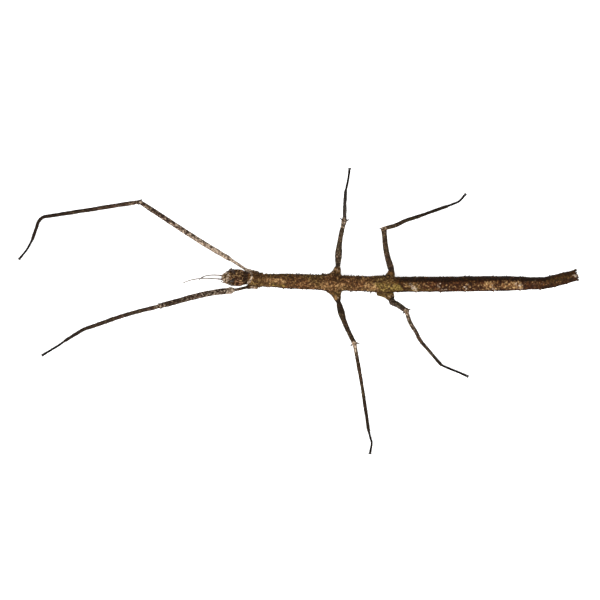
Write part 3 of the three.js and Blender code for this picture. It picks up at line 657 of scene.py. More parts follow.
# %% Grains, ridges and furrows
GRAIN_CELL, FINE_CELL = 0.7, 0.45
GRAIN_REACH = 0.5
LUMP_CELL, LUMP_GAIN = 2.6, 1.6
COLLAR_OFFSET, COLLAR_RADIUS, COLLAR_WIDTH = Vector((-0.75, 0.1, 0)), 1.98, 0.27
FURROW_PLACE, BROW_PLACE = 2.3, 0.72  # in millimetres from the neck, and as a share of the head
on_trunk, on_head, on_leg = part == TRUNK_PART, part == HEAD_PART, part > HEAD_PART
on_thorax = on_trunk & (along < PLATE_STARTS[3])
on_coxa, on_foot = on_leg & (along < -0.1), on_leg & (along > 2)


def grain_near(cell, seed):
    """How near each vert is to the middle of its grain, from 0 to 1."""
    shift = Vector((seed, 2 * seed, 3 * seed))
    far = np.array([noise.voronoi(Vector(point) / cell + shift)[0][0] for point in points])
    return np.clip(1 - (far / GRAIN_REACH) ** 2, 0, 1)


def lumps(cell, seed):
    """Soft random swelling of each vert, about -1 to 1."""
    shift = Vector((seed, -seed, seed))
    return np.array([noise.noise(Vector(point) / cell + shift) for point in points]) * LUMP_GAIN


grains = grain_near(GRAIN_CELL, 3.0)
fine_grains = grain_near(FINE_CELL, 7.0)
swelling = lumps(LUMP_CELL, 5.0)
edge_angle = np.minimum(np.abs(around), np.abs(math.pi - np.abs(around)))
sides = hump(edge_angle, 0.1, 0.35)
rims = sum(hump(along, start - 0.32, 0.18) for start in PLATE_STARTS[3:]) * on_trunk
keel = np.where(on_trunk, hump(around, math.pi / 2, 0.07), 0)
collar_centre = NECK + COLLAR_OFFSET
collar_reach = np.hypot(points[:, 0] - collar_centre.x, points[:, 1] - collar_centre.y)
collar = hump(collar_reach, COLLAR_RADIUS, COLLAR_WIDTH)
collar = np.where((points[:, 2] > AXIS_HEIGHT - 0.6) & on_trunk, collar, 0)
pronotum = on_trunk & (along < PLATE_STARTS[1])
furrow = np.where(pronotum, hump(along, FURROW_PLACE, 0.18), 0)
eye_middles = [np.array(in_head(*EYE_PLACE, side)) for side in SIDES.values()]
eye_reach = np.min([np.linalg.norm(points - middle, axis=1) for middle in eye_middles], axis=0)
orbit = np.where(on_head, hump(eye_reach, EYE_RADIUS + 0.22, 0.14), 0)
brow = np.where(on_head & (normals[:, 2] > 0.2), hump(along, BROW_PLACE, 0.03), 0)
grain_height = np.select([on_thorax, on_trunk, on_head, on_foot], [0.13, 0.09, 0.1, 0.0], 0.07)
lump_height = np.select([on_trunk, on_head, on_foot], [0.06, 0.04, 0.0], 0.05)
grain_shape = np.where(on_leg, fine_grains, np.maximum(grains, 0.6 * fine_grains))
height = grain_height * grain_shape + lump_height * swelling + rims * (0.05 + 0.12 * sides)
height += 0.1 * keel + 0.13 * collar - 0.08 * furrow + 0.1 * orbit + 0.11 * brow
print("heights in mm:", round(height.min(), 2), "to", round(height.max(), 2))

# %% [markdown]
# ## Where the colours lie
# A hidden insect is painted like bark: gold and orange flecks, patches of olive and lichen green,
# cream on the fore legs, black on the feet. Each patch is a soft box along the body and round
# it, whose ends wander to and fro, and is stronger on the left flank. They are stored as numbers
# per vert, and the materials break them into flecks, so that no edge of a patch looks drawn.
# The dark paint also holds painted shade: on the belly and lower flanks, along both outer edges
# of the trunk, on the right slope of the abdomen and on the far edge of the right fore femur.
# The cream spot on the left fore coxa is a painted highlight.

# %% Where the colours lie
LEFT_SLOPE = 2.3  # angle round the trunk of the middle of the left slope
wander = points[:, 0] + 1.5 * lumps(2.4, 11.0) + 0.6 * lumps(0.8, 13.0)


def smooth_step(values):
    values = np.clip(values, 0, 1)
    return values * values * (3 - 2 * values)


def patch(start, end, amount, slope=LEFT_SLOPE, spread=0.6, soft=1.0, other=0.3):
    """A soft box of colour on the trunk between two x places, and a weaker one opposite."""
    box = smooth_step((wander - start) / soft + 0.5) - smooth_step((wander - end) / soft + 0.5)
    here = hump(around, slope, spread) + other * hump(around, math.pi - slope, spread)
    return amount * box * np.select([on_trunk, on_coxa], [here, 0.4], 0)


THORAX_X, ABDOMEN_X, TAIL_X = -12.0, 32.5, 76.0
GOLD_PATCHES = [
    (THORAX_X, 31, 0.3), (-9.5, -4.0, 0.8, 1.7, 0.4), (8.0, 16.0, 0.36), (20.5, 25.0, 0.75),
    (-16, THORAX_X, 0.35, 1.9, 0.8), (33, 43, 0.5, 2.1, 0.8), (43.2, 45.4, 0.6), (45.4, 51.0, 0.34),
    (51.0, 53.2, 0.5), (53.4, 57.2, 0.4), (57.4, 62.0, 0.85, 2.1, 0.75), (62.0, 64.0, 0.5),
    (64.0, 70.0, 0.85, 2.15, 0.72), (70, 76, 0.3, 1.7), (TAIL_X, 88, 0.3),
]
LICHEN_PATCHES = [
    (-8.6, -3.6, 0.8, 2.6, 0.35), (THORAX_X, 20, 0.4, 0.35, 0.3), (5.0, 16.0, 0.4),
    (24.4, 32.4, 1.0), (33.0, 43.0, 0.5, 2.75, 0.4), (34.6, 37.8, 0.8), (TAIL_X, 88, 0.3, 1.6, 1.2),
]
PALE_PATCHES = [
    (35.0, 37.4, 0.7), (44.0, 45.6, 0.55), (52.0, 53.2, 0.5), (60.4, 61.6, 0.5),
    (67.6, 70.2, 0.45), (70, 78, 0.13, 1.7, 0.8),
]
# The first dark patch, on the right slope of the abdomen turned away from the light, is painted shade.
DARK_AND_SHADE_PATCHES = [
    (ABDOMEN_X, 78, 0.7, 0.95, 0.5, 2.0, 0.0), (61.8, 64.6, 0.7, 2.9, 0.35),
    (70.0, 76, 0.12, 2.6, 0.8), (TAIL_X, 90, 0.4, 2.2, 1.0), (-14.6, -11.5, 0.3, 1.2, 0.5),
]
gold, lichen, pale, black = (
    sum(patch(*values) for values in patches)
    for patches in (GOLD_PATCHES, LICHEN_PATCHES, PALE_PATCHES, DARK_AND_SHADE_PATCHES)
)
pale += 1.4 * collar + 0.5 * rims * sides
# Painted shade: the belly and lower flanks of the trunk are darkened, and so are both outer edges,
# where the round body turns away from the light.
belly = smooth_step((1.3 - np.abs(around + math.pi / 2)) / 0.5 + 0.5)
black += np.where(on_trunk, 0.75 * belly, 0)
black += np.where(on_trunk, 0.5 * hump(edge_angle, 0.0, 0.3) * (1 - rims), 0)

tail_point, tail_run = trunk_at(TRUNK_LENGTH)
tail_side = sideways_of(tail_run)
tail_top = tail_run.cross(tail_side)
from_tail = points - np.array(tail_point)
before_end = from_tail @ np.array(-tail_run)
beside = from_tail @ np.array(tail_side)
tail_lobe = np.where(on_trunk, hump(beside, -0.4, 0.6) * smooth_step(1.6 - before_end / 1.2), 0)
pale += 0.8 * tail_lobe

LEG_PALE = profiles({
    "front_right": [
        (-1, 0.5), (0, 0.95), (0.17, 1), (0.25, 0.7), (0.55, 0.5), (0.98, 0.3), (1.04, 0.4),
        (1.1, 0.2), (1.5, 0.05), (1.99, 0), (2.06, 0.5), (2.2, 0),
    ],
    # On the left fore leg, the cream spot on the coxa is a painted highlight.
    "front_left": [
        (-0.75, 0.2), (-0.62, 1), (-0.42, 0.7), (-0.3, 0.1), (0, 0.2), (0.15, 0.4), (0.2, 1.0),
        (0.27, 0.4), (0.9, 0.3), (1, 0.4), (1.1, 0.15), (1.9, 0.05), (2.0, 0.1), (2.06, 0.8), (2.2, 0),
    ],
    "middle_right": [
        (-1, 0.0), (-0.5, 0.2), (-0.1, 0.4), (0.1, 0.25), (0.8, 0.2), (0.97, 0.5), (1.08, 0.2), (2, 0)
    ],
    "middle_left": [
        (-1, 0.0), (-0.5, 0.2), (-0.2, 0.3), (-0.1, 0.1), (0.05, 0), (0.9, 0.1), (1, 0.7),
        (1.08, 0.4), (1.2, 0.1), (2, 0),
    ],
    "hind_right": [(-1, 0.0), (0, 0.15), (0.88, 0.12), (1, 0.4), (1.08, 0.15), (1.3, 0.08), (2, 0)],
    "hind_left": [
        (-1, 0.0), (0, 0.3), (0.92, 0.2), (1.0, 0.5), (1.1, 0.3), (1.6, 0.1), (1.76, 0.6),
        (1.86, 0.1), (2, 0),
    ],
})
LEG_BLACK = profiles({
    "front_right": [(0.9, 0), (1.2, 0.2), (1.85, 0.75), (2.0, 1)],
    "front_left": [
        (-0.3, 0), (-0.12, 0.5), (0.03, 0.3), (0.1, 0.1), (1.1, 0.1), (1.6, 0.4), (2.0, 0.9)
    ],
    "middle_right": [(-0.1, 0), (0.02, 0.6), (0.15, 0.3), (0.9, 0.2), (1.3, 0.45), (2, 0.95)],
    "middle_left": [
        (-0.18, 0), (-0.05, 0.95), (0.06, 0.3), (0.9, 0.15), (1, 0), (1.3, 0.3), (2, 0.9)
    ],
    "hind_right": [(-0.1, 0), (0.02, 0.6), (0.2, 0.25), (0.9, 0.2), (1, 0), (1.3, 0.4), (2, 0.9)],
    "hind_left": [(-0.1, 0), (0.02, 0.5), (0.2, 0.25), (1, 0), (1.3, 0.3), (2, 0.8)],
})
KNEE_BLUSH = {"middle_left": 0.7, "hind_right": 0.8, "hind_left": 0.6, "middle_right": 0.3}
for name, number in LEG_PARTS.items():
    mine = part == number
    pale[mine] += [LEG_PALE[name](place) for place in along[mine]]
    black[mine] += [LEG_BLACK[name](place) for place in along[mine]]
    gold[mine] += KNEE_BLUSH.get(name, 0.1) * hump(along[mine], 1.0, 0.06)
    lichen[mine] += 0.15 * hump(along[mine], -0.7, 0.4)
# Painted shade along the far edge of the right fore femur, the side turned away from the light.
shaded_far_edge = hump(np.abs(around), math.pi, 0.8) * (along > 0.2) * (along < 1)
black += np.where(part == LEG_PARTS["front_right"], 0.7 * shaded_far_edge, 0)
front_of_head = np.where(on_head, smooth_step((along - 0.68) / 0.12), 0)
pale += 0.55 * front_of_head + 0.6 * brow
back_of_head = np.clip(1 - along / 0.2, 0, 1)
black += np.where(on_head, 1.6 * back_of_head + 0.7 * hump(eye_reach, 0.85, 0.4), 0)
lichen += 0.5 * front_of_head
PAINT = {"grain": grain_shape, "gold": gold, "lichen": lichen, "pale": pale, "black": black}
PAINT = {name: np.clip(values, 0, 1) for name, values in PAINT.items()}


def paint(piece, values_of):
    for name, values in values_of.items():
        layer = piece.data.attributes.new(name, "FLOAT", "POINT")
        layer.data.foreach_set("value", values.astype(np.float32))


paint(skin, PAINT)
print("painted:", ", ".join(PAINT))

# %% [markdown]
# ## The notched tail
# The last plate ends in two lobes with a notch between them. The verts near the end are drawn
# along the tail: forward in the notch, and back at each corner.

# %% The notched tail
TAIL_REACH = 2.0
# Where each dent or corner is across the tail, how wide it is, and how far it draws the rim
TAIL_SHAPE = [
    (1.5, 0.25, 0.55), (0.95, 0.3, -0.5), (-0.35, 0.55, 0.4), (-1.2, 0.2, -0.4), (-1.6, 0.2, 0.3)
]
drawn = sum(amount * hump(beside, middle, width) for middle, width, amount in TAIL_SHAPE)
drawn *= np.where(on_trunk, smooth_step(1 - before_end / TAIL_REACH), 0)
moved = points + normals * height[:, None] + drawn[:, None] * np.array(tail_run)
moved[:, 2] = np.maximum(moved[:, 2], 0)
skin.data.vertices.foreach_set("co", moved.astype(np.float32).ravel())
skin.data.update()
print("tail drawn by", round(drawn.min(), 2), "to", round(drawn.max(), 2), "mm")

# %% [markdown]
# ## Finishing a piece
# A finished piece is made smaller to metres, rides on the one body, and hides the CAD nodes it
# stands for. Small pieces are drawn by the same tube, so one helper does
# for horns, feelers, palps and spines.

# %% Finishing a piece
TRUNK_AND_HEAD = ("head", "prothorax", "mesothorax", "metathorax", "abdomen")
FLESH = (*TRUNK_AND_HEAD, "coxa", "femur", "tibia", "tarsus")


def finish_piece(piece, nodes):
    """Scales a piece to metres, lets it ride and hides the CAD nodes it stands for."""
    piece.data.transform(Matrix.Scale(MM, 4))
    for polygon in piece.data.polygons:
        polygon.use_smooth = True
    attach(piece, BODY)
    if nodes:
        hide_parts(*nodes)
    print(f"{piece.name}: {len(piece.data.polygons)} faces")


def tube_piece(name, slot, *tubes):
    """A piece of tubes, each a path, a ring shape and a number of sides.

    It stands for the CAD node of its name, if there is one.
    """
    mesh = new_mesh()
    for path, shape, sides in tubes:
        add_tube(mesh, path, shape, sides)
    nodes = [name] if name in frame["nodes"] else []
    finish_piece(object_from(mesh, name), nodes)


flesh = [node for node in frame["nodes"] if node.split("_")[0] in FLESH]
finish_piece(skin, flesh)

# %% [markdown]
# ## Granules and teeth
# Over the grains lie thousands of small hard granules, which make a stick insect feel like
# sandpaper and give its outline fine teeth. One vert of the skin in each cell of a fine grid
# carries one, so they never crowd. A granule is one small dome, copied with its own size and
# turned to stand on the skin, and it takes over the paint of the place where it stands.

# %% Granules and teeth
GRANULE_CELL = 0.5
GRANULE_SIDES = 6
GRANULE_SINK = 0.05
SHOULDER_RADIUS, SHOULDER_HEIGHT = 0.62, 0.6  # of a granule one millimetre wide and tall
SEED = 11
chance = np.random.default_rng(SEED)
wanted = np.select(
    [on_thorax, on_trunk & (rims > 0.4), on_trunk, on_head, on_foot, on_leg & (along < 0)],
    [0.7, 0.5, 0.16, 0.3, 0.0, 0.6], 0.3,
)
order = chance.permutation(count)
cells = np.floor(moved[order] / GRANULE_CELL).astype(int)
hosts = order[np.unique(cells, axis=0, return_index=True)[1]]
hosts = hosts[(chance.random(len(hosts)) < wanted[hosts]) & (normals[hosts, 2] > -0.8)]
dome = bmesh.new()
rings = {"radius1": 1, "radius2": SHOULDER_RADIUS, "depth": SHOULDER_HEIGHT}
bmesh.ops.create_cone(dome, cap_ends=True, segments=GRANULE_SIDES, **rings)
bmesh.ops.translate(dome, verts=dome.verts, vec=(0, 0, SHOULDER_HEIGHT / 2))
cap = bmesh.ops.poke(dome, faces=[max(dome.faces, key=lambda face: face.calc_center_median().z)])
cap["verts"][0].co.z = 1
bmesh.ops.triangulate(dome, faces=dome.faces)
dome.verts.index_update()
dome_points = np.array([vert.co for vert in dome.verts])
dome_faces = np.array([[vert.index for vert in face.verts] for face in dome.faces])
dome.free()
edge = sides[hosts] * on_trunk[hosts]
teeth = edge * chance.random(len(hosts)) ** 5
wide = np.select([on_thorax[hosts], on_trunk[hosts]], [0.15, 0.12], 0.11)
wide = wide * chance.uniform(0.6, 1.3, len(hosts)) * (1 + 0.5 * teeth)
tall = wide * (0.9 + 1.4 * teeth) * chance.uniform(0.8, 1.5, len(hosts))
stands = normals[hosts]
level = np.cross(stands, [0.3, 0.5, 0.8])
level /= np.linalg.norm(level, axis=1, keepdims=True)
third = np.cross(stands, level)
axes = np.stack([level * wide[:, None], third * wide[:, None], stands * tall[:, None]], axis=1)
roots = moved[hosts] - stands * GRANULE_SINK
granule_points = (np.einsum("pk,gkc->gpc", dome_points, axes) + roots[:, None]).reshape(-1, 3)
first_verts = len(dome_points) * np.arange(len(hosts))
granule_faces = (dome_faces + first_verts[:, None, None]).reshape(-1, 3)


def for_each_vert(values):
    """A value of each granule, given to all its verts."""
    return np.repeat(values, len(dome_points))


data = bpy.data.meshes.new("granules")
data.from_pydata(granule_points, [], granule_faces)
granules = add_object("granules", data)
dark_ones = chance.random(len(hosts)) < 0.35 + 0.5 * edge
tips = np.tile(dome_points[:, 2] / dome_points[:, 2].max(), len(hosts))
granule_paint = {name: for_each_vert(values[hosts]) for name, values in PAINT.items()}
granule_paint["grain"] = tips * for_each_vert(np.where(dark_ones, 0.0, 1.15))
granule_paint["black"] = np.maximum(granule_paint["black"], for_each_vert(dark_ones * 0.6))
paint(granules, granule_paint)
finish_piece(granules, [])

# %% [markdown]
# ## Eyes, horns and feelers
# The eyes are small, bulging and set low at the sides. The horns are flat like a mouse's ears,
# with a ragged outer edge. A feeler has a stout first joint, a smaller second one and then a
# whip of many small joints, each a little swollen at its end.

# %% Eyes, horns and feelers
EYE_SHAPE = Matrix.Diagonal((1.15, 0.8, 1)).to_4x4()
HORN_BREADTH = profile((0, 0.85), (0.5, 0.72), (0.8, 0.45), (1, 0.1))
FEELER_RADIUS = profile(
    (0, 0.33), (0.085, 0.35), (0.1, 0.24), (0.15, 0.28), (0.17, 0.23), (0.6, 0.21), (1, 0.18)
)
FEELERS = {
    "right": {"length": 9.6, "headings": (184, 238), "pitches": (30, 46)},
    "left": {"length": 12.3, "headings": (176, 209), "pitches": (5, 13)},
}
FEELER_ROOTS = [(7.2, 0.62, 0.1), (8.3, 0.6, 0.05)]
FEELER_JOINTS = 26
FEELER_BENDS = 10
WHIP_START = 0.17
HORN_PATH = [(4.3, 0.95, 0.8), (4.6, 1.5, 2.5), (5.0, 2.1, 4.0)]


def horn_ring(share):
    ragged = 1 + 0.1 * math.sin(19 * share) * (1 - share)
    return {"wide": 0.58 * (1 - 0.8 * share), "deep": HORN_BREADTH(share) * ragged}


def feeler_ring(share):
    knot = 0.022 * math.cos(2 * math.pi * FEELER_JOINTS * share) if share > WHIP_START else 0
    return round_ring(FEELER_RADIUS(share) + knot)


def feeler_path(word, side):
    shape = FEELERS[word]
    path = [in_head(*place, side) for place in FEELER_ROOTS]
    for share in np.arange(1, FEELER_BENDS + 1) / FEELER_BENDS:
        heading = np.interp(share**2, (0, 1), shape["headings"])
        pitch = np.interp(share, (0, 1), shape["pitches"])
        path.append(path[-1] + direction(heading, pitch) * (shape["length"] / FEELER_BENDS))
    return path_through(path, 0.08)


for word, side in SIDES.items():
    ball = bmesh.new()
    bmesh.ops.create_icosphere(ball, subdivisions=4, radius=EYE_RADIUS)
    bmesh.ops.transform(ball, matrix=EYE_SHAPE, verts=ball.verts)
    bmesh.ops.translate(ball, vec=in_head(*EYE_PLACE, side), verts=ball.verts)
    finish_piece(object_from(ball, f"eye_{word}"), [f"eye_{word}"])
    tube_piece(f"horn_{word}", "horn_cuticle", (head_path(HORN_PATH, 0.1, side), horn_ring, 20))
    tube_piece(f"antenna_{word}", "feeler_cuticle", (feeler_path(word, side), feeler_ring, 10))

# %% [markdown]
# ## Jaws and palps
# Below the front of the head sit the upper lip and the jaws, and beside them a jointed palp on
# each side, with which the insect tastes a leaf before it bites.

# %% Jaws and palps
JAW_PATH = [(6.0, 0, -1.15), (7.3, 0, -1.25), (8.1, 0, -1.5)]
JAW_FORM = {"roof": 0.9, "belly": 1.1, "ribs": 2, "rib_height": 0.04}
PALP_PATH = [(6.2, 1.0, -1.2), (7.2, 1.25, -1.85), (8.0, 1.0, -2.2), (8.5, 0.65, -2.4)]


def jaw_ring(share):
    return JAW_FORM | {"wide": 1.12 - 0.45 * share, "deep": 0.6 - 0.12 * share}


def palp_ring(share):
    return round_ring(0.2 + 0.045 * math.cos(6 * math.pi * share) - 0.05 * share)


tube_piece("mouthparts", "horn_cuticle", (head_path(JAW_PATH, 0.12), jaw_ring, 20))
for word, side in SIDES.items():
    tube_piece(f"palp_{word}", "foot_cuticle", (head_path(PALP_PATH, 0.08, side), palp_ring, 12))

# %% [markdown]
# ## The tail tip
# Under the last plates lies the operculum, a boat-shaped plate that holds the eggs, and beside
# it two short pointed cerci.

# %% The tail tip
OPERCULUM = {"length": 9.6, "wide": 1.22, "deep": 0.6, "drop": 1.62}
OPERCULUM_FORM = {"roof": 0.8, "belly": 1.3}
OPERCULUM_WIDTH = profile((0, 0.45), (0.2, 0.95), (0.7, 1), (1, 0.5))


def operculum_ring(share):
    size = OPERCULUM_WIDTH(share)
    return OPERCULUM_FORM | {word: OPERCULUM[word] * size for word in ("wide", "deep")}


def cercus_ring(share):
    return round_ring(0.26 * (1 - share) ** 0.7 + 0.04)


belly_points = []
for back in (1, 0.66, 0.33, 0):
    point, run = trunk_at(TRUNK_LENGTH - 0.3 - back * OPERCULUM["length"])
    belly_points.append(point - run.cross(sideways_of(run)) * OPERCULUM["drop"])
tube_piece("operculum", "abdomen_cuticle", (path_through(belly_points, 0.15), operculum_ring, 20))
for word, side in SIDES.items():
    base = tail_point + tail_side * (0.82 * side) - tail_top * 0.75 - tail_run * 0.9
    towards = (tail_run + tail_side * (0.12 * side)).normalized()
    path = path_through([base, base + towards * 0.75, base + towards * 1.5], 0.08)
    tube_piece(f"cercus_{word}", "abdomen_cuticle", (path, cercus_ring, 12))

# %% [markdown]
# ## Claws and knee spines
# Each foot ends in a round sticky pad between two hooked claws, and stands on it. Each femur
# ends in two short blunt spines beside the knee.

# %% Claws and knee spines
PAD = {"radius": 0.5, "length": 1.05, "width": 0.85, "height": 0.75, "middle": 0.2, "ahead": 0.25}
CLAW = {"splay": 62, "height": 0.42}
KNEE_SPINE = {"radius": 0.32, "root": 0.7, "splay": 1.5, "beside": 0.45}
SPINE_LENGTHS = {"front": 0.8, "middle": 1.35, "hind": 1.2}


def claw_ring(share):
    return round_ring(0.17 * (1 - share) ** 0.8 + 0.03)


def spine_ring(share):
    return round_ring(KNEE_SPINE["radius"] * (1 - share) ** 0.6 + 0.04)


for name, leg in LEGS.items():
    toes, run = leg["joints"][-1], leg["runs"][-1]
    pad_middle = toes + run * PAD["ahead"]
    pad_middle.z = PAD["middle"]
    mesh = new_mesh()
    ball = bmesh.ops.create_uvsphere(mesh, u_segments=20, v_segments=12, radius=PAD["radius"])
    size = Matrix.Diagonal((PAD["length"], PAD["width"], PAD["height"])).to_4x4()
    turn = Matrix.Rotation(math.atan2(run.y, run.x), 4, "Z")
    place = Matrix.Translation(pad_middle) @ turn @ size
    bmesh.ops.transform(mesh, matrix=place, verts=ball["verts"])
    for which in SIDES.values():
        out = run.copy()
        out.rotate(Quaternion(UP, math.radians(which * CLAW["splay"])))
        root = pad_middle.copy()
        root.z = CLAW["height"]
        hook = [root, root + out * 0.5 + UP * 0.04, root + out * 0.74 + run * 0.1 - UP * 0.2]
        add_tube(mesh, path_through(hook, 0.07), claw_ring, 10)
    for vert in mesh.verts:
        vert.co.z = max(vert.co.z, 0)
    finish_piece(object_from(mesh, f"claws_{name}"), [f"claws_{name}"])
    knee, run = leg["joints"][2], leg["runs"][0]
    sideways = sideways_of(run)
    spines = []
    for which in SIDES.values():
        base = knee - run * KNEE_SPINE["root"] + sideways * (which * KNEE_SPINE["beside"])
        towards = (run + sideways * (which * KNEE_SPINE["splay"])).normalized()
        tip = base + towards * SPINE_LENGTHS[leg["pair"]]
        path = path_through([base - towards * 0.2, base.lerp(tip, 0.5), tip], 0.08)
        spines.append((path, spine_ring, 12))
    tube_piece(f"knee_spines_{name}", "leg_cuticle", *spines)

# %% [markdown]
# ## Shader sums
# A material is a small sum: how pale here, how dark there. Wired by hand such a sum is a thicket
# of nodes, so one class wraps a socket and lets Python's own signs add the Math nodes. Every
# other node comes from one method that takes its type, its settings and its inputs.

# %% Shader sums
def linear(red, green, blue):
    """A screen colour from 0 to 255 as the linear colour that shaders use."""
    parts = (value / 255 for value in (red, green, blue))
    return (*(c / 12.92 if c <= 0.04045 else ((c + 0.055) / 1.055) ** 2.4 for c in parts), 1)


class Link:
    """An output socket. Its + - * / and clamp add Math nodes."""

    def __init__(self, finish, socket):
        self.finish, self.socket = finish, socket

    def sum(self, operation, first, second, clamp=False):
        settings = {"operation": operation, "use_clamp": clamp}
        return self.finish.node("Math", settings, {0: first, 1: second})

    def __add__(self, other):
        return self.sum("ADD", self, other)

    def __sub__(self, other):
        return self.sum("SUBTRACT", self, other)

    def __rsub__(self, other):
        return self.sum("SUBTRACT", other, self)

    def __mul__(self, other):
        return self.sum("MULTIPLY", self, other)

    __radd__, __rmul__ = __add__, __mul__

    def size(self):
        return self.sum("ABSOLUTE", self, 0)

    def clamp(self):
        return self.sum("ADD", self, 0, clamp=True)

    def stretch(self, contrast):
        """More contrast around one half, kept between 0 and 1."""
        return self.sum("ADD", (self - 0.5) * contrast, 0.5, clamp=True)


class Finish:
    """A material in the making, with one Principled shader."""

    def __init__(self, name, **uniform):
        self.material = bpy.data.materials.new(name)
        self.material.use_nodes = True
        self.tree = self.material.node_tree
        self.shader = self.tree.nodes["Principled BSDF"]
        for word, value in uniform.items():
            socket = word.replace("_", " ").title().replace("Ior", "IOR")
            self.shader.inputs[socket].default_value = value

    def node(self, kind, settings, values, output=0):
        """Adds a node: its settings first, then a value or a link for each named input."""
        made = self.tree.nodes.new("ShaderNode" + kind)
        for word, value in settings.items():
            if word == "stops":
                made.color_ramp.elements.remove(made.color_ramp.elements[1])
                made.color_ramp.elements[0].position, made.color_ramp.elements[0].color = value[0]
                for place, colour in value[1:]:
                    made.color_ramp.elements.new(place).color = colour
            else:
                setattr(made, word, value)
        for word, value in values.items():
            if isinstance(value, Link):
                self.tree.links.new(value.socket, made.inputs[word])
            else:
                made.inputs[word].default_value = value
        return Link(self, made.outputs[output])

    def feed(self, word, link):
        self.tree.links.new(link.socket, self.shader.inputs[word])

    def place(self):
        """Where a point of the surface is, in millimetres."""
        metres = self.node("TexCoord", {}, {}, "Object")
        return self.node("VectorMath", {"operation": "SCALE"}, {0: metres, "Scale": 1 / MM})

    def noise(self, place, cell, detail=3, roughness=0.55):
        """Soft random patches about one cell wide, in millimetres."""
        values = {"Vector": place, "Scale": 1 / cell, "Detail": detail, "Roughness": roughness}
        return self.node("TexNoise", {}, values, "Fac")

    def cells(self, place, cell, feature="F1"):
        """Distance to the middle of the nearest of many random cells."""
        settings = {"feature": feature}
        return self.node("TexVoronoi", settings, {"Vector": place, "Scale": 1 / cell}, "Distance")

    def painted(self, name):
        return self.node("Attribute", {"attribute_name": name}, {}, "Fac")

    def ramp(self, link, *stops):
        return self.node("ValToRGB", {"stops": stops}, {"Fac": link}, "Color")

    def mix(self, mask, under, over, blend="MIX"):
        settings = {"data_type": "RGBA", "blend_type": blend}
        return self.node("Mix", settings, {0: mask, 6: under, 7: over}, 2)

    def bump(self, height, depth, strength=1.0):
        """Feeds a fine relief, depth in millimetres."""
        values = {"Height": height, "Distance": depth * MM, "Strength": strength}
        self.feed("Normal", self.node("Bump", {}, values))


# %% [markdown]
# ## The cuticle of trunk, head and legs
# All parts of the skin share one recipe with other tones. Wide mottles and fine specks set a
# tone from deep brown to tan, thin pale worms of colour wind over it, and the grains are paler
# on their tops, while the pits between them are painted darker as shade. The painted patches
# lie over it in crisp flecks, because lichen and bark flake, and don't blend. The cuticle is
# waxy and fairly rough.

# %% The cuticle of trunk, head and legs
RUST = linear(90, 57, 29)
GOLD = linear(158, 126, 84)
MOSS_DEEP = linear(44, 34, 14)
OLIVE = linear(98, 78, 32)
LICHEN = linear(156, 134, 74)
BROWN_CREAM = linear(104, 84, 66)
CREAM = linear(175, 156, 136)
DARK_AND_SHADE_TONE = linear(16, 9, 4)
REDDISH = (1.0, 0.86, 0.8, 1)
MOSSY = (0.92, 1.0, 0.8, 1)


def flecks(finish, place, name, cell, cover, crisp):
    """A painted patch broken into flecks, 0 to 1. cover is the share they take where it is full."""
    wild = finish.noise(place, cell, 3, 0.6).stretch(2.4)
    amount = finish.painted(name)
    return ((amount * (0.5 + cover) - wild) * crisp + 0.4).clamp() * (amount * 3).clamp()


# The ramp of each painted patch, then the cell of its flecks, their cover and crispness, and
# how strongly they lie over what is below
PATCH_LOOKS = {
    "lichen": (((0.1, MOSS_DEEP), (0.45, OLIVE), (0.9, LICHEN)), 0.8, 0.5, 2.2, 0.85),
    "gold": (((0.2, RUST), (0.85, GOLD)), 0.62, 0.35, 3.5, 1),
    "pale": (((0.15, BROWN_CREAM), (0.7, CREAM)), 0.65, 0.55, 3.5, 1),
    "black": (((0, DARK_AND_SHADE_TONE),), 0.9, 0.75, 2.0, 0.85),
}


def cuticle(name, tones, worm_strength=0.4, worm_cell=1.3, grain_gain=0.5, mottle_cell=2.4):
    """The finish of one region. tones are its colours in the pits, between and on the tops."""
    deep, body, tan = (linear(*tone) for tone in tones)
    finish = Finish(name, roughness=0.62, specular_ior_level=0.05)
    place = finish.place()
    mottle = finish.noise(place, mottle_cell, 3).stretch(2.2)
    speck = finish.noise(place, 0.8, 3, 0.65).stretch(3.2)
    worms = (1 - (finish.noise(place, worm_cell, 2) - 0.5).size() * 14).clamp()
    grain = finish.painted("grain")
    tone = mottle * 0.22 + speck * 0.5 + worms * worm_strength + (grain - 0.5) * grain_gain
    colour = finish.ramp(tone.clamp(), (0.1, deep), (0.48, body), (0.95, tan))
    hue = finish.ramp(finish.noise(place, 7, 2).stretch(2.6), (0.25, REDDISH), (0.75, MOSSY))
    colour = finish.mix(1.0, colour, hue, "MULTIPLY")
    for paint_name, (stops, cell, cover, crisp, strength) in PATCH_LOOKS.items():
        mask = flecks(finish, place, paint_name, cell, cover, crisp) * strength
        colour = finish.mix(mask, colour, finish.ramp(speck, *stops))
    # Painted shade: the pits between the grains are darkened towards the deep tone, and the bump sinks
    # the same pits.
    pit = (finish.cells(place, 0.6) * 2.2 - 0.75).clamp()
    colour = finish.mix(pit * 0.8, colour, deep)
    finish.feed("Base Color", colour)
    finish.feed("Roughness", speck * 0.2 + 0.6)
    finish.bump((1 - pit) * 0.7 + finish.noise(place, 0.25, 2) * 0.6, 0.09, 0.8)
    return finish.material


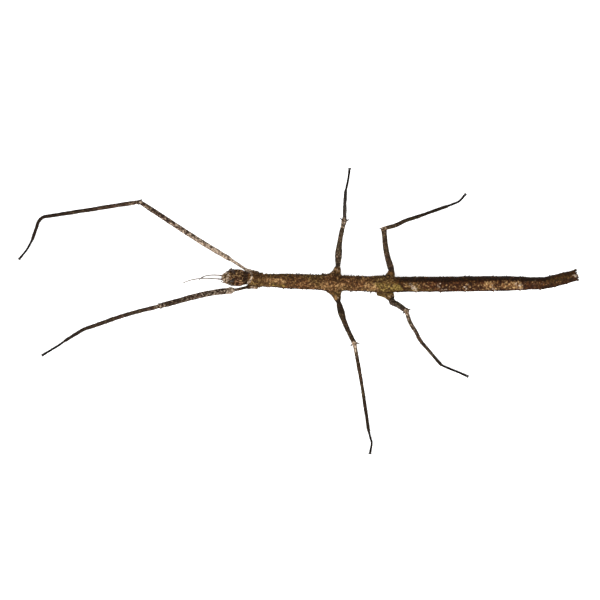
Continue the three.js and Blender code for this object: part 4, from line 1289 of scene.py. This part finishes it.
SKIN_FINISHES = [
    cuticle("thorax cuticle", ((40, 23, 10), (86, 59, 31), (154, 125, 87))),
    cuticle("abdomen cuticle", ((29, 13, 4), (62, 35, 16), (114, 81, 50)), 0.2, grain_gain=0.4),
    cuticle("head cuticle", ((28, 13, 5), (58, 34, 18), (158, 122, 94)), 0.8, 0.9, 0.2),
    cuticle("foreleg cuticle", ((30, 20, 14), (68, 52, 40), (118, 98, 82)), 0.2, mottle_cell=1.2),
    cuticle("leg cuticle", ((32, 23, 15), (76, 60, 46), (124, 104, 84)), 0.2, mottle_cell=1.4),
    cuticle("foot cuticle", ((9, 8, 7), (17, 14, 12), (36, 31, 26)), 0.1),
]
fore = np.isin(part, [LEG_PARTS["front_right"], LEG_PARTS["front_left"]])
looks = np.select([on_thorax | on_coxa, on_trunk, on_head, on_foot, fore], [0, 1, 2, 5, 3], 4)


def dress_skin(piece, look_of_verts):
    """Gives each face the finish of its first vert."""
    for finish in SKIN_FINISHES:
        piece.data.materials.append(finish)
    corners = read(piece.data.loops, "vertex_index", 1, np.int32)[:, 0]
    starts = read(piece.data.polygons, "loop_start", 1, np.int32)[:, 0]
    look_of_faces = look_of_verts[corners[starts]].astype(np.int32)
    piece.data.polygons.foreach_set("material_index", look_of_faces)
    piece.data.update()


dress_skin(skin, looks)
dress_skin(granules, for_each_vert(looks[hosts]))
print("skin finishes:", [finish.name for finish in SKIN_FINISHES])

# %% [markdown]
# ## The small pieces' finishes
# Horns, jaws and spines are dark horn with paler mottles. The eyes are finely faceted, brown
# with paler spots and a little glossy. The feelers are grey with a brown root, and the claws
# are nearly black.

# %% The small pieces' finishes


def horny(name, dark, light, cell, roughness=0.5, relief=0.02, root=None):
    """A horny finish. A root colour fades out over the first fifth of the piece."""
    dark, light = linear(*dark), linear(*light)
    finish = Finish(name, roughness=roughness, specular_ior_level=0.25)
    place = finish.place()
    tone = (finish.noise(place, cell, 3) * 0.6 + finish.noise(place, cell / 4, 2) * 0.5).stretch(2.2)
    colour = finish.ramp(tone, (0.2, dark), (0.85, light))
    if root:
        fading = (1.6 - finish.painted("along") * 8).clamp()
        colour = finish.mix(fading, colour, linear(*root))
    finish.feed("Base Color", colour)
    finish.feed("Roughness", tone * 0.2 + (roughness - 0.1))
    finish.bump(finish.noise(place, cell / 5, 2), relief)
    return finish.material


def eye_finish():
    finish = Finish("eye", roughness=0.3, specular_ior_level=0.3, coat_weight=0.1)
    place = finish.place()
    spots = finish.noise(place, 0.35, 2).stretch(3)
    brown = finish.ramp(spots, (0.35, linear(30, 20, 14)), (0.8, linear(112, 84, 58)))
    finish.feed("Base Color", brown)
    finish.bump(finish.cells(place, 0.09), 0.02)
    return finish.material


FINISH_OF = {
    "eye": eye_finish(),
    "horn": horny("horn", (16, 9, 7), (46, 31, 23), 0.9),
    "antenna": horny("feeler", (84, 74, 68), (134, 124, 116), 1.4, root=(62, 38, 28)),
    "palp": horny("palp", (44, 36, 28), (112, 96, 78), 0.6),
    "mouthparts": horny("jaw", (36, 28, 20), (104, 88, 64), 0.8),
    "operculum": horny("operculum", (34, 24, 16), (104, 78, 52), 0.9, 0.6, 0.05),
    "cercus": horny("cercus", (28, 20, 14), (96, 76, 56), 0.6),
    "claws": horny("claw", (12, 11, 10), (38, 33, 29), 0.5, 0.4),
    "knee": horny("knee spine", (15, 9, 7), (40, 25, 19), 0.6),
}
for piece in list(bpy.data.objects):
    word = piece.name.split("_")[0]
    if word in FINISH_OF and "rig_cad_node" not in piece:
        piece.data.materials.append(FINISH_OF[word])
print("finishes:", len(SKIN_FINISHES) + len(FINISH_OF))

# %% [markdown]
# ## Floor, light and camera
# The insect stands on a plain pale floor. One broad soft light comes from its left and above,
# so that the roofed back shows its two slopes, and a weak one from its right fills the shade.
# The camera looks down steeply with a long lens, which keeps the legs' lengths true.

# %% Floor, light and camera
FLOOR_SIZE = 4.0
KEY = {"from": (-0.25, -0.72, 0.97), "size": 1.4, "power": 40}
FILL = {"from": (0.3, 0.6, 1.1), "size": 1.5, "power": 8}
WORLD_LIGHT = 0.16
FLOOR_GLOW = 0.3
FLOOR_TONES = (0.3, (0.86, 0.86, 0.86, 1)), (0.7, (0.9, 0.9, 0.9, 1))
FLOOR_CELL = 60
WHITE = (1, 1, 1, 1)
CAMERA_TARGET = (1.08, 2.97, 0)
CAMERA_ELEVATION = 76
CAMERA_DISTANCE = 750
LENS, SENSOR = 144, 36

floor_mesh = bmesh.new()
bmesh.ops.create_grid(floor_mesh, x_segments=1, y_segments=1, size=FLOOR_SIZE / 2)
floor = object_from(floor_mesh, "floor")
glow = {"emission_color": WHITE, "emission_strength": FLOOR_GLOW}
floor_finish = Finish("floor", roughness=0.8, specular_ior_level=0.2, **glow)
patches = floor_finish.noise(floor_finish.place(), FLOOR_CELL, 3)
floor_finish.feed("Base Color", floor_finish.ramp(patches, *FLOOR_TONES))
floor.data.materials.append(floor_finish.material)


def add_light(name, look):
    lamp = bpy.data.lights.new(name, "AREA")
    lamp.shape, lamp.size, lamp.energy = "SQUARE", look["size"], look["power"]
    holder = add_object(name, lamp)
    holder.location = look["from"]
    holder.rotation_euler = (-Vector(look["from"])).to_track_quat("-Z", "Y").to_euler()


add_light("key", KEY)
add_light("fill", FILL)
world = bpy.data.worlds.new("studio")
bpy.context.scene.world = world
world.use_nodes = True
world.node_tree.nodes["Background"].inputs["Color"].default_value = WHITE
world.node_tree.nodes["Background"].inputs["Strength"].default_value = WORLD_LIGHT
bpy.context.scene.view_settings.view_transform = "Standard"

lens = bpy.data.cameras.new("camera")
lens.lens, lens.sensor_width = LENS, SENSOR
camera = add_object("camera", lens)
view = direction(-90, CAMERA_ELEVATION)
camera.location = (Vector(CAMERA_TARGET) + view * CAMERA_DISTANCE) * MM
camera.rotation_euler = (math.radians(90 - CAMERA_ELEVATION), 0, 0)
bpy.context.scene.camera = camera
